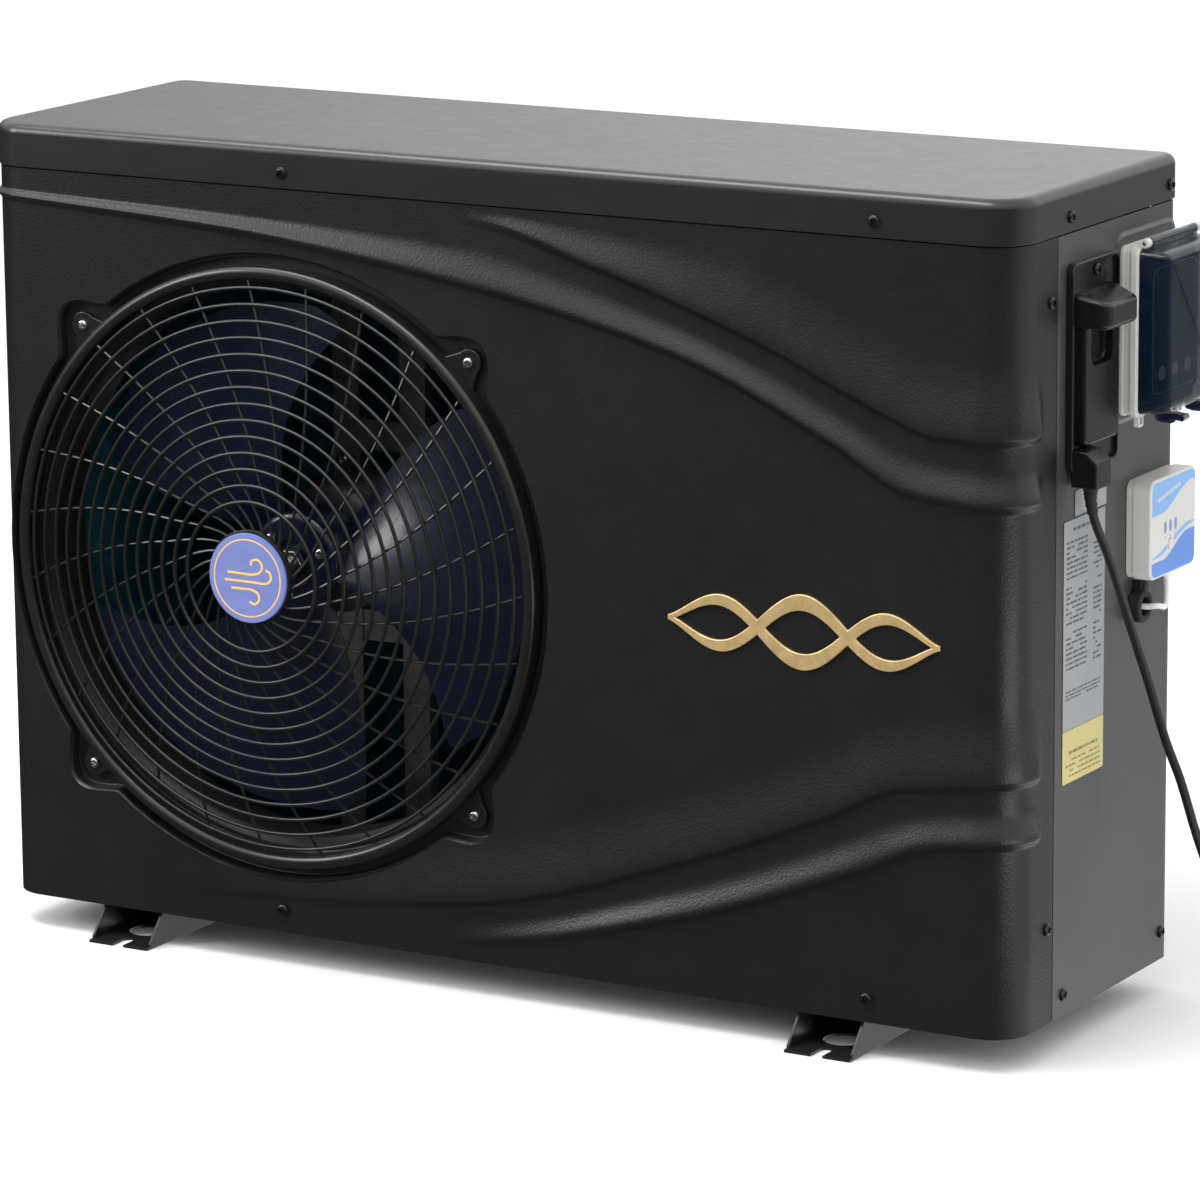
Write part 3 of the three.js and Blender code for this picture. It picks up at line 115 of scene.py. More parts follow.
def material(name, colour, rough, metal=0.0, grain=900.0, depth=0.02, mottle=0.1, patch=9.0, uneven=0.05,
             stretch=(1, 1, 1), cells=False, **sockets):
    """A surface with mottled colour, uneven gloss and a fine grain.

    grain and patch are features per metre, depth is the grain's height in millimetres.
    """
    made = bpy.data.materials.new(name)
    made.use_nodes = True
    nodes, links = made.node_tree.nodes, made.node_tree.links
    shader = nodes["Principled BSDF"]
    shader.inputs["Metallic"].default_value = metal
    for socket, value in sockets.items():
        shader.inputs[socket.replace("_", " ")].default_value = value
    where = nodes.new("ShaderNodeTexCoord").outputs["Object"]
    if stretch != (1, 1, 1):
        mapping = nodes.new("ShaderNodeMapping")
        mapping.inputs["Scale"].default_value = stretch
        links.new(where, mapping.inputs["Vector"])
        where = mapping.outputs["Vector"]
    broad = noise(nodes, links, where, patch, 5.0, 0.6)
    ramp = nodes.new("ShaderNodeValToRGB")
    ramp.color_ramp.elements[0].position = 0.3
    ramp.color_ramp.elements[1].position = 0.7
    ramp.color_ramp.elements[0].color = (*[c * (1 - mottle) for c in colour], 1)
    ramp.color_ramp.elements[1].color = (*[min(1, c * (1 + mottle)) for c in colour], 1)
    links.new(broad.outputs["Fac"], ramp.inputs["Fac"])
    links.new(ramp.outputs["Color"], shader.inputs["Base Color"])
    if cells:
        fine = nodes.new("ShaderNodeTexVoronoi")
        fine.inputs["Scale"].default_value = grain
        links.new(where, fine.inputs["Vector"])
        height = fine.outputs["Distance"]
    else:
        height = noise(nodes, links, where, grain).outputs["Fac"]
    gloss = nodes.new("ShaderNodeMapRange")
    gloss.inputs["To Min"].default_value = max(0.02, rough - uneven)
    gloss.inputs["To Max"].default_value = min(1.0, rough + uneven)
    links.new(noise(nodes, links, where, patch * 7, 4.0).outputs["Fac"], gloss.inputs["Value"])
    links.new(gloss.outputs["Result"], shader.inputs["Roughness"])
    bump = nodes.new("ShaderNodeBump")
    bump.inputs["Strength"].default_value = 0.6
    bump.inputs["Distance"].default_value = depth * MM
    links.new(height, bump.inputs["Height"])
    links.new(bump.outputs["Normal"], shader.inputs["Normal"])
    return made


LOOKS = {}


def finish(name, *basics, **details):
    """Makes a material and keeps it under its name."""
    LOOKS[name] = material(name, *basics, **details)


# One finish for each of the record's material slots.
finish("textured_black", (0.0090, 0.0090, 0.0091), 0.36, grain=430, depth=0.24, mottle=0.12, cells=True)
finish("moulded_black", (0.0065, 0.0065, 0.007), 0.27, grain=1600, depth=0.008)
finish("black_steel", (0.015, 0.015, 0.015), 0.30, grain=650, depth=0.05, Coat_Weight=0.25,
       Coat_Roughness=0.22)
finish("grey_steel", (0.048, 0.046, 0.044), 0.34, grain=650, depth=0.05, Coat_Weight=0.3, Coat_Roughness=0.25)
finish("zinc", (0.42, 0.43, 0.44), 0.36, 0.9, grain=90, depth=0.02, mottle=0.25, patch=60, cells=True)
finish("black_wire", (0.008, 0.008, 0.008), 0.34, grain=1400, depth=0.02, Coat_Weight=0.3, Coat_Roughness=0.2)
finish("badge_blue", (0.15, 0.19, 0.46), 0.38, grain=1500, depth=0.012, mottle=0.06, patch=60)
finish("blade_navy", (0.0035, 0.0065, 0.020), 0.26, grain=500, depth=0.03, mottle=0.25, patch=14,
       Coat_Weight=0.4, Coat_Roughness=0.15)
finish("motor_grey", (0.035, 0.035, 0.038), 0.42, 0.1, grain=700, depth=0.06)
finish("steel", (0.62, 0.62, 0.61), 0.25, 1.0, grain=1600, depth=0.01, mottle=0.12, patch=180)
finish("teal_fins", (0.03, 0.22, 0.30), 0.33, 0.7, grain=700, depth=0.02, mottle=0.35, patch=45)
finish("copper", (0.66, 0.28, 0.15), 0.3, 1.0, grain=700, depth=0.02, mottle=0.3, patch=50)
finish("compressor_black", (0.010, 0.010, 0.011), 0.25, grain=400, depth=0.06, Coat_Weight=0.5,
       Coat_Roughness=0.12)
finish("rubber", (0.012, 0.012, 0.012), 0.62, grain=900, depth=0.05)
finish("shell_white", (0.62, 0.61, 0.57), 0.42, grain=1200, depth=0.02, mottle=0.04)
finish("board_green", (0.02, 0.16, 0.07), 0.35, grain=500, depth=0.04, mottle=0.3, patch=120)
finish("white_plastic", (0.62, 0.62, 0.60), 0.36, grain=1300, depth=0.02, mottle=0.03)
finish("smoked_clear", (0.006, 0.016, 0.032), 0.08, grain=120, depth=0.001, mottle=0.15, uneven=0.02,
       Alpha=0.56, IOR=1.45, Coat_Weight=0.2, Coat_Roughness=0.05)
finish("white_cable", (0.74, 0.74, 0.73), 0.4, grain=700, depth=0.02, mottle=0.04)
finish("label_grey", (0.29, 0.30, 0.31), 0.42, grain=1500, depth=0.008, mottle=0.04)
finish("label_yellow", (0.52, 0.46, 0.19), 0.42, grain=1500, depth=0.008, mottle=0.05)
finish("gold", (0.74, 0.53, 0.25), 0.30, 0.55, grain=260, depth=0.02, mottle=0.18, patch=70)
finish("cord_black", (0.010, 0.010, 0.0105), 0.45, grain=1500, depth=0.03)
# Prints and small marks that the record has no slot of their own for.
PRINT = dict(grain=1500, depth=0.005)
finish("print_orange", (0.90, 0.50, 0.12), 0.45, mottle=0.05, **PRINT)
finish("print_grey", (0.07, 0.075, 0.08), 0.5, mottle=0.2, patch=200, **PRINT)
finish("print_grey_light", (0.42, 0.43, 0.44), 0.4, mottle=0.1, patch=200, **PRINT)
finish("print_brown", (0.20, 0.17, 0.06), 0.5, mottle=0.2, patch=200, **PRINT)
finish("print_sky", (0.22, 0.42, 0.74), 0.4, mottle=0.04, **PRINT)
finish("print_blue", (0.12, 0.26, 0.66), 0.4, mottle=0.05, **PRINT)
finish("lamp_blue", (0.22, 0.27, 0.50), 0.3, mottle=0.1, **PRINT)
finish("screen_dark", (0.008, 0.010, 0.012), 0.12, grain=900, depth=0.004, Coat_Weight=0.6,
       Coat_Roughness=0.05)
finish("latch_violet", (0.012, 0.015, 0.040), 0.16, grain=900, depth=0.01, mottle=0.2, Coat_Weight=0.5,
       Coat_Roughness=0.06)

# ---- shapes: (points in mm, faces)
AXES = {"x": (1, 2, 0), "y": (0, 2, 1), "z": (0, 1, 2)}  # outline's first and second axis, then the depth's


def loft(rings, closed=True, caps=True):
    """Faces between rings of points; closed joins each ring up, caps fills both ends."""
    count = len(rings[0])
    points = [Vector(p) for ring in rings for p in ring]
    faces = []
    for j in range(len(rings) - 1):
        for i in range(count if closed else count - 1):
            a, b = j * count + i, j * count + (i + 1) % count
            faces.append((a, b, b + count, a + count))
    if caps:
        faces.append(tuple(reversed(range(count))))
        faces.append(tuple(range((len(rings) - 1) * count, len(rings) * count)))
    return points, faces


def merged(*shapes):
    """Several shapes as one."""
    points, faces = [], []
    for more_points, more_faces in shapes:
        start = len(points)
        points += [Vector(p) for p in more_points]
        faces += [tuple(i + start for i in face) for face in more_faces]
    return points, faces


def moved(shape, matrix):
    return [matrix @ Vector(p) for p in shape[0]], shape[1]


def rounded(a0, a1, b0, b1, radii, steps=8):
    """Rectangle with rounded corners, anticlockwise from the low corner; one radius, or four."""
    radii = [radii] * 4 if isinstance(radii, (int, float)) else radii
    outline = []
    for k, (a, b) in enumerate([(a0, b0), (a1, b0), (a1, b1), (a0, b1)]):
        radius = radii[k]
        if radius < 0.01:
            outline.append((a, b))
            continue
        centre_a = a + radius * (1 if a == a0 else -1)
        centre_b = b + radius * (1 if b == b0 else -1)
        start = pi * (1 + k / 2)
        for i in range(steps + 1):
            turn = start + pi / 2 * i / steps
            outline.append((centre_a + radius * cos(turn), centre_b + radius * sin(turn)))
    return outline


def circle(a, b, radius, steps=48):
    return [(a + radius * cos(2 * pi * i / steps), b + radius * sin(2 * pi * i / steps))
            for i in range(steps)]


def inset(outline, amount):
    """The outline moved inwards by amount, along each corner's bisector."""
    if abs(amount) < 1e-9:
        return list(outline)
    result = []
    count = len(outline)
    for i in range(count):
        before, here, after = (Vector(outline[(i + k) % count]) for k in (-1, 0, 1))
        first, second = (here - before), (after - here)
        first = first.normalized() if first.length > 1e-9 else second.normalized()
        second = second.normalized() if second.length > 1e-9 else first
        normal = Vector((-first.y - second.y, first.x + second.x))
        normal = normal.normalized() if normal.length > 1e-9 else Vector((-first.y, first.x))
        reach = max(0.35, normal.dot(Vector((-first.y, first.x))))
        result.append(tuple(here + normal * amount / reach))
    return result


def quarter(steps):
    """Angles of a quarter turn, from nothing to the whole of it."""
    return [pi / 2 * i / steps for i in range(steps + 1)]


def outlined(outline, axis, depth):
    """The outline's points in space, at a depth along the axis."""
    ring = []
    for p in outline:
        point = [0, 0, 0]
        for k, value in zip(AXES[axis], (*p, depth)):
            point[k] = value
        ring.append(tuple(point))
    return ring


def slab(outline, axis, low, high, edge=0.6, steps=3, both=True):
    """An outline given depth along an axis, its edges rounded at the high end or, with both, at each."""
    levels = [(edge * (1 - sin(t)), low + edge * (1 - cos(t))) for t in quarter(steps)] if both else [(0,
                                                                                                       low)]
    levels += [(edge * (1 - cos(t)), high - edge * (1 - sin(t))) for t in quarter(steps)]
    return loft([outlined(inset(outline, amount), axis, depth) for amount, depth in levels])


def lathe(profile, axis, centre, steps=64, capped=True):
    """A profile of (radius, place along the axis) turned about the axis through centre."""
    a, b = (centre[k] for k in AXES[axis][:2])
    rings = [outlined(circle(a, b, radius, steps), axis, along) for radius, along in profile]
    return loft(rings, caps=capped)


def ring_of(profile, axis, centre, steps=96):
    """A closed profile turned about the axis: a ring with no ends."""
    return lathe([*profile, profile[0]], axis, centre, steps, capped=False)


def spline(points, per=8):
    """A centripetal Catmull-Rom curve through the points."""
    points = [Vector(p) for p in points]
    points = [points[0] * 2 - points[1], *points, points[-1] * 2 - points[-2]]
    line = []
    for i in range(1, len(points) - 2):
        p0, p1, p2, p3 = points[i - 1:i + 3]
        d1, d2, d3 = ((b - a).length ** 0.5 for a, b in ((p0, p1), (p1, p2), (p2, p3)))
        m1 = (p1 - p0) / d1 - (p2 - p0) / (d1 + d2) + (p2 - p1) / d2
        m2 = (p2 - p1) / d2 - (p3 - p1) / (d2 + d3) + (p3 - p2) / d3
        m1, m2 = m1 * d2, m2 * d2
        for k in range(per):
            t = k / per
            line.append(p1 * (2 * t**3 - 3 * t**2 + 1) + m1 * (t**3 - 2 * t**2 + t)
                        + p2 * (-2 * t**3 + 3 * t**2) + m2 * (t**3 - t**2))
    line.append(points[-2])
    return line


def sweep(line, section, closed=False, sizes=None, up=None):
    """A section, (across, up) points or a radius, carried along a line of points."""
    line = [Vector(p) for p in line]
    if isinstance(section, (int, float)):
        section = circle(0, 0, section, 12)
    count = len(line)
    rings = []
    side = None
    for i, p in enumerate(line):
        if closed:
            ahead = (line[(i + 1) % count] - line[i - 1]).normalized()
        else:
            ahead = (line[min(i + 1, count - 1)] - line[max(i - 1, 0)]).normalized()
        if up is not None:
            side = ahead.cross(Vector(up)).normalized()
        elif side is None:
            side = ahead.orthogonal().normalized()
        else:
            side = (side - ahead * side.dot(ahead)).normalized()
        over = side.cross(ahead)
        size = sizes[i] if sizes else 1
        rings.append([p + side * (a * size) + over * (b * size) for a, b in section])
    if closed:
        rings.append(rings[0])
    return loft(rings, caps=not closed)


# ---- objects
JOIN, CUT = "UNION", "DIFFERENCE"
hidden = set()
built = []


def from_points(name, points, faces):
    """A new object of points in metres."""
    mesh = bpy.data.meshes.new(name)
    mesh.from_pydata(points, [], faces)
    return linked(name, mesh)


def shaped(name, shape, degenerate=True):
    """The bare object of a shape: merged points, faces turned out."""
    made = from_points(name, [place(p) for p in shape[0]], shape[1])
    mesh = made.data
    tidy = bmesh.new()
    tidy.from_mesh(mesh)
    bmesh.ops.remove_doubles(tidy, verts=tidy.verts, dist=2e-6)
    if degenerate:
        bmesh.ops.dissolve_degenerate(tidy, edges=tidy.edges, dist=1e-6)
    bmesh.ops.recalc_face_normals(tidy, faces=tidy.faces)
    tidy.to_mesh(mesh)
    tidy.free()
    return made


def smooth(mesh, sharp):
    """Smooth shading, but for edges over sharp degrees."""
    mesh.polygons.foreach_set("use_smooth", [True] * len(mesh.polygons))
    mesh.set_sharp_from_angle(angle=radians(sharp))


def build(name, shape, look, body="root", stands_for=(), sharp=32):
    """Makes a piece of a shape, with its finish, riding on a body and standing for CAD nodes."""
    made = shaped(name, shape)
    smooth(made.data, sharp)
    made.data.materials.append(LOOKS[look])
    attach(made, body)
    if stands_for:
        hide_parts(*stands_for)
        hidden.update(stands_for)
    built.append(made)
    return made


def combined(target, operation, tool):
    """The target's mesh after a boolean with a tool, which is used up."""
    modifier = target.modifiers.new("carve", "BOOLEAN")
    modifier.solver = "MANIFOLD"
    modifier.operation = operation
    modifier.object = tool
    bpy.context.view_layer.update()
    mesh = bpy.data.meshes.new_from_object(target.evaluated_get(bpy.context.evaluated_depsgraph_get()))
    target.modifiers.remove(modifier)
    bpy.data.objects.remove(tool)
    mesh.materials.clear()
    mesh.polygons.foreach_set("material_index", [0] * len(mesh.polygons))
    return mesh


def carve(target, *steps, sharp=32, flatten=False):
    """Joins or cuts a made object with shapes, one (operation, shape) after the other."""
    for operation, shape in steps:
        old = target.data
        target.data = combined(target, operation, shaped("cutter", shape, degenerate=False))
        target.data.materials.append(old.materials[0])
        bpy.data.meshes.remove(old)
        target.data.name = target.name
    if flatten:
        tidy = bmesh.new()
        tidy.from_mesh(target.data)
        bmesh.ops.dissolve_limit(tidy, angle_limit=radians(0.2), verts=tidy.verts, edges=tidy.edges)
        tidy.to_mesh(target.data)
        tidy.free()
    smooth(target.data, sharp)


def soften(made, width, segments=2, limit=35):
    """Rounds an object's edges by width millimetres."""
    bevel = made.modifiers.new("soften", "BEVEL")
    bevel.width = width * MM
    bevel.segments = segments
    bevel.limit_method = "ANGLE"
    bevel.angle_limit = radians(limit)
    bevel.harden_normals = True
    return made


# ---- camera, made first; the cord's route was measured by it
LENS, SENSOR = 181.7, 36.0
CAMERA = (2704.5, -4588.9, 1531.8)
YAW, PITCH, ROLL = 0.5279, -0.2217, 0.0089


def make_camera():
    camera = linked("camera", bpy.data.cameras.new("camera"))
    camera.data.lens = LENS
    camera.data.sensor_width = SENSOR
    camera.data.clip_end = 60
    turn = Matrix.Rotation(YAW, 4, "Z") @ Matrix.Rotation(PITCH, 4, "X") @ Matrix.Rotation(ROLL, 4, "Y")
    # A Blender camera looks along its -Z with +Y up, so it starts a quarter turn up from looking along +Y.
    camera.matrix_world = Matrix.Translation(place(CAMERA)) @ turn @ Matrix.Rotation(pi / 2, 4, "X")
    bpy.context.scene.camera = camera


make_camera()

# ---- mains cord
CORD = 8
FLOOR_LINE = CORD / 2 + GAP
GLAND_LO, GLAND_HI = span("cable_gland")
CORD_OUT, CORD_Y = 15.5, -46  # how far out from the side the cord leaves the gland, and where along the side
CORD_START = (SIDE + CORD_OUT, CORD_Y, GLAND_LO.z - 2 * GAP)
CORD_ROUTE = [
    CORD_START,
    (CORD_START[0], CORD_START[1], CORD_START[2] - 9),
    (CORD_START[0] + 1.5, CORD_START[1] + 4, CORD_START[2] - 28),
    (541, -20, 432),
    (546, 26, 348),
    (550, 44, 310),
    (557, 67, 252),
    (565, 82, 213),
    (577, 91, 163),
    (594, 94, 118),
    (618, 93, 74),
    (648, 89, 36),
    (676, 83, 14),
    (704, 78, FLOOR_LINE + 1),
    (730, 75.5, FLOOR_LINE),
    (752, 75, FLOOR_LINE),
]
COIL_TURNS = [53, 45, 37]
coil_lo, coil_hi = span("power_cord_coil")
COIL_X, COIL_Y = (coil_lo.x + coil_hi.x) / 2, (coil_lo.y + coil_hi.y) / 2
SHIFT = 0.12  # share of a turn over which the cord moves to the next turn's radius
PLUG_LO, PLUG_HI = span("power_plug")
PLUG_START, PLUG_Y = PLUG_HI.x, COIL_Y + COIL_TURNS[0]
UPPER_LINE = FLOOR_LINE + CORD


def coil_line(per_turn=40):
    """The cord's way through the coil: three turns inwards on the floor, three outwards on top of them."""
    radii = COIL_TURNS + COIL_TURNS[::-1]
    line = []
    for k, radius in enumerate(radii):
        following = radii[min(k + 1, len(radii) - 1)]
        low = FLOOR_LINE + (CORD if k >= 3 else 0)
        high = FLOOR_LINE + (CORD if k >= 2 else 0)
        last = k == len(radii) - 1
        for i in range(per_turn // 2 + 1 if last else per_turn):
            share = i / per_turn
            shift = max(0.0, (share - 1 + SHIFT) / SHIFT)
            ease = shift * shift * (3 - 2 * shift)
            turn = -pi / 2 + 2 * pi * share
            r = radius + (following - radius) * ease
            line.append((COIL_X + r * cos(turn), COIL_Y + r * sin(turn), low + (high - low) * ease))
    return line


def make_cord():
    """The cord from the gland down to the floor, through the coil and into the plug's strain relief."""
    line = spline(CORD_ROUTE, 4)[:-1] + coil_line()
    y, z = PLUG_Y, UPPER_LINE
    line += [(COIL_X - 12, y, z), (COIL_X - 24, y, z), (PLUG_START + 4, y, z), (PLUG_START - 6, y, z + 0.3)]
    curve = bpy.data.curves.new("mains_cord", "CURVE")
    curve.dimensions = "3D"
    curve.bevel_depth = CORD / 2 * MM
    curve.bevel_resolution = 4
    curve.use_fill_caps = True
    run = curve.splines.new("POLY")
    run.points.add(len(line) - 1)
    for point, p in zip(run.points, line):
        point.co = (*place(p), 1)
    run.use_smooth = True
    cord = linked("mains_cord", curve)
    curve.materials.append(LOOKS["cord_black"])
    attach(cord, "root")
    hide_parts("power_cord", "power_cord_coil")
    return cord


def make_plug():
    """Two-pin moulded plug with a ribbed strain relief."""
    y, z = PLUG_Y, PLUG_LO.z / 2 + PLUG_HI.z / 2
    start, upper = PLUG_START, UPPER_LINE
    line = spline([(start, y, upper), (start - 14, y, upper + 1), (start - 30, y, z - 3),
                   (start - 46, y, z)], 8)
    sizes = []
    for i in range(len(line)):
        share = i / (len(line) - 1)
        rib = 0.45 if (i // 2) % 2 and 0.08 < share < 0.8 else 0
        sizes.append(4.6 + 2.8 * share - rib)
    relief = sweep(line, circle(0, 0, 1, 24), sizes=sizes)
    profile = [(7.2, start - 40), (9, start - 42), (10.5, start - 45), (17, start - 53), (18.2, start - 55),
               (18.4, start - 58), (18.4, start - 73), (17.8, start - 75.2), (16.6, start - 76)]
    body = lathe(profile, "x", (0, y, z), 40)
    squashed = [(p.x, p.y, z + (p.z - z) * 0.82) for p in body[0]]
    face = slab(rounded(y - 13, y + 13, z - 8, z + 8, 6), "x", start - 77.2, start - 75.5, 0.5)
    plug = build("mains_plug", merged(relief, (squashed, body[1]), face), "moulded_black",
                 stands_for=["power_plug"])
    pin = [(0.8, start - 94.6), (1.9, start - 93.6), (2.35, start - 91.5), (2.35, start - 76)]
    pins = [lathe(pin, "x", (0, y + across, z), 20) for across in (-9.5, 9.5)]
    return [plug, build("mains_plug_pins", merged(*pins), "steel")]


plug_pieces = make_plug()
make_cord()

# ---- front panel
# The four laps moulded into the front, from the bottom up. Crests are (x, height above the casing's bottom).
LAPS = [
    dict(crest=[(-500, 7), (-26, 17), (196, 66), (385, 136), (440, 160), (500, 169)], begins=-60, full=180),
    dict(crest=[(-500, 22), (-217, 32), (0, 56), (196, 116), (348, 178), (410, 208), (500, 222)],
         begins=-320, full=60),
    dict(crest=[(-500, 655), (-255, 640), (-17, 611), (199, 566), (348, 504), (425, 466), (500, 459)],
         begins=-900, full=0),
    dict(crest=[(-500, 674), (-16, 667), (125, 634), (274, 586), (400, 533), (450, 517), (500, 516)],
         begins=-30, full=180),
]
LAP_RISE, LAP_RAMP, LAP_STEP = 7, 68, 9  # how far out, the long slope's height, the short slope's height
PANEL_WALL = 4


def eased(value, start, end):
    t = min(1.0, max(0.0, (value - start) / (end - start)))
    return t * t * (3 - 2 * t)


def through(points):
    """A smooth height over x through the given points, flat beyond the ends: cubic with limited slopes."""
    xs, ys = [p[0] for p in points], [p[1] for p in points]
    steps = [(ys[i + 1] - ys[i]) / (xs[i + 1] - xs[i]) for i in range(len(xs) - 1)]
    slopes = [steps[0]]
    for a, b in zip(steps, steps[1:]):
        slopes.append(0 if a * b <= 0 else 2 * a * b / (a + b))
    slopes.append(steps[-1])

    def height(x):
        x = min(xs[-1], max(xs[0], x))
        i = max(k for k in range(len(xs) - 1) if xs[k] <= x or k == 0)
        wide = xs[i + 1] - xs[i]
        t = (x - xs[i]) / wide
        return (ys[i] * (2 * t**3 - 3 * t**2 + 1) + slopes[i] * wide * (t**3 - 2 * t**2 + t)
                + ys[i + 1] * (-2 * t**3 + 3 * t**2) + slopes[i + 1] * wide * (t**3 - t**2))

    return height


for lap in LAPS:
    lap["line"] = through(lap["crest"])


def relief(x):
    """Rows of the front's relief at one place across: (height above the bottom, how far out)."""
    top = WALL_TOP - BOTTOM
    rows = [(0, 0)]
    for k, lap in enumerate(LAPS):
        crest = lap["line"](x)
        ceiling = LAPS[k + 1]["line"](x) - LAP_STEP if k + 1 < len(LAPS) else top
        room = ceiling - crest
        grow = 0.25 + 0.75 * eased(x, lap["begins"], lap["full"])
        rise = LAP_RISE * grow * eased(x, lap["begins"] - 1, lap["begins"] + 90)
        step = min(LAP_STEP, crest * 0.4)
        low, high = crest - step / 2, crest + min(step / 2, room * 0.2)
        end = crest + min(LAP_RAMP, room * 0.75)
        for i in range(7):
            t = i / 6
            rows.append((low + (high - low) * t, rise * eased(t, 0, 1)))
        for i in range(1, 11):
            t = i / 10
            rows.append((high + (end - high) * t, rise * (1 - eased(t ** 0.85, 0, 1))))
        following = LAPS[k + 1]["line"](x) - LAP_STEP / 2 if k + 1 < len(LAPS) else top
        plain = 12 if k == 1 else 1
        for i in range(1, plain + 1):
            rows.append((end + (following - end) * i / (plain + 1), 0))
    rows.append((top, 0))
    return rows


def panel_plan():
    """The plan from the left return round to the right: (x, y, normal x, normal y, share of relief)."""
    radius = FRONT_CORNER - SEAM
    end_x = WALL_X - radius
    side = [(WALL_X, RETURN_Y, 1, 0, 0.0)]
    for y in (RETURN_Y - 20, WALL_FRONT + radius + 16, WALL_FRONT + radius + 11, WALL_FRONT + radius + 5):
        fade = 1 - eased(y, WALL_FRONT + radius, WALL_FRONT + radius + 16)
        side.append((WALL_X, y, 1, 0, fade))
    for turn in reversed(quarter(12)):
        nx, ny = sin(turn), -cos(turn)
        side.append((end_x + radius * nx, WALL_FRONT + radius + radius * ny, nx, ny, 1.0))
    right = side[::-1]
    left = [(-x, y, -nx, ny, fade) for x, y, nx, ny, fade in side]
    across = 190
    front = [(-end_x + 2 * end_x * i / across, WALL_FRONT, 0, -1, 1.0) for i in range(1, across)]
    return left + front + right


def lobed(radius, lobe, steps=720):
    """A circle round the fan with four smooth lobes for the grille's lugs."""
    half = radians(7.6)
    outline = []
    for i in range(steps):
        turn = 2 * pi * i / steps
        off = min(abs(((turn - pi / 4 - k * pi / 2 + pi) % (2 * pi)) - pi) for k in range(4))
        swell = cos(pi / 2 * min(1.0, off / half)) ** 1.5
        r = radius + lobe * swell
        outline.append((FAN_X + r * cos(turn), FAN_Z + r * sin(turn)))
    return outline


def front_panel():
    """The moulded front with its laps and returns, the recess for the grille and the fan's opening."""
    plan = panel_plan()
    reliefs = {spot[0]: relief(spot[0]) for spot in plan}
    rows = []
    for j in range(len(relief(0))):
        ring = []
        for x, y, nx, ny, fade in plan:
            height, out = reliefs[x][j]
            ring.append((x + nx * out * fade, y + ny * out * fade, BOTTOM + GAP + height))
        rows.append(ring)
    panel = build("front_panel_moulding", loft(rows), "textured_black", stands_for=["front_panel"])
    inner_radius = FRONT_CORNER - SEAM - PANEL_WALL
    hollow = slab(rounded(-WALL_X + PANEL_WALL, WALL_X - PANEL_WALL, WALL_FRONT + PANEL_WALL, BACK,
                          [inner_radius, inner_radius, 0, 0], 10), "z", 0, TOP + 5, 0.01, 1)
    dish = slab(lobed(RECESS + 3, 28), "y", WALL_FRONT + 1, DISH_Y + 3, 0.5, 1)
    # The recess opens with a rounded lip: wider at the surface than at its floor.
    flare = [(4.5, FRONT - 30), (4.5, WALL_FRONT - 7), (3.2, WALL_FRONT - 0.5), (2.0, WALL_FRONT + 0.8),
             (0.9, WALL_FRONT + 2.2), (0.2, WALL_FRONT + 4), (0, WALL_FRONT + 6), (0, DISH_Y - 2.2),
             (-0.6, DISH_Y - 0.7), (-2.2, DISH_Y)]
    recess = loft([outlined(inset(lobed(RECESS, 27), -grow), "y", depth) for grow, depth in flare])
    mouth = lathe([(OPENING + 6, FRONT - 40), (OPENING + 6, DISH_Y - 0.1), (OPENING + 3, DISH_Y + 0.4),
                   (OPENING, DISH_Y + 1.6), (OPENING, 0)], "y", FAN, 180)
    carve(panel, (CUT, hollow), (JOIN, dish), (CUT, recess), (CUT, mouth), sharp=38)


front_panel()


# ---- top cover
def top_cover():
    """Pressed cover: one skin inside and out, from the inner top over the skirt's lip to the outer top."""
    def plan(amount):
        corners = [FRONT_CORNER, FRONT_CORNER, REAR_CORNER, REAR_CORNER]
        whole = rounded(-HALF_WIDTH, HALF_WIDTH, FRONT, BACK, corners, 12)
        return inset(whole, amount)

    levels = [(COVER_EDGE + 4, TOP - SHEET), (COVER_EDGE, TOP - SHEET), (SHEET + 1, TOP - COVER_EDGE),
              (SHEET, TOP - COVER_EDGE - 4), (SHEET, SKIRT + 0.6), (SHEET - 0.5, SKIRT), (0.6, SKIRT),
              (0.15, SKIRT + 0.3), (0, SKIRT + 0.9), (0, SKIRT + 8), (0, TOP - COVER_EDGE - 6)]
    levels += [(COVER_EDGE * (1 - cos(turn)), TOP - COVER_EDGE * (1 - sin(turn))) for turn in quarter(9)]
    levels.append((COVER_EDGE + 4, TOP))
    build("top_cover_pressing", loft([outlined(plan(amount), "z", z) for amount, z in levels]), "black_steel",
          stands_for=["top_cover"], sharp=40)


top_cover()


# ---- screws
def screw_mesh(name, radius, height, look):
    """A pan head with a cross recess, in metres about its own seat and along +Z, for copies to share."""
    profile = [(radius * 0.96, 0), (radius, height * 0.15), (radius, height * 0.35)]
    profile += [(radius * (0.35 + 0.65 * cos(t)), height * (0.35 + 0.65 * sin(t))) for t in quarter(6)[1:]]
    points, faces = lathe(profile, "z", (0, 0, 0), 32)
    head = from_points(name, [p * MM for p in points], faces)
    arm, width = radius * 0.62, radius * 0.17
    for long, wide in ((arm, width), (width, arm)):
        bar = [(-long, -wide), (long, -wide), (long, wide), (-long, wide)]
        points, faces = slab(bar, "z", height * 0.35, height + 1, 0.02, 1)
        head.data = combined(head, CUT, from_points("cutter", [p * MM for p in points], faces))
    mesh = head.data
    mesh.name = name
    mesh.materials.append(LOOKS[look])
    smooth(mesh, 35)
    bpy.data.objects.remove(head)
    return mesh


DIRECTIONS = {"+x": (1, 0, 0), "-x": (-1, 0, 0), "-y": (0, -1, 0), "+y": (0, 1, 0)}


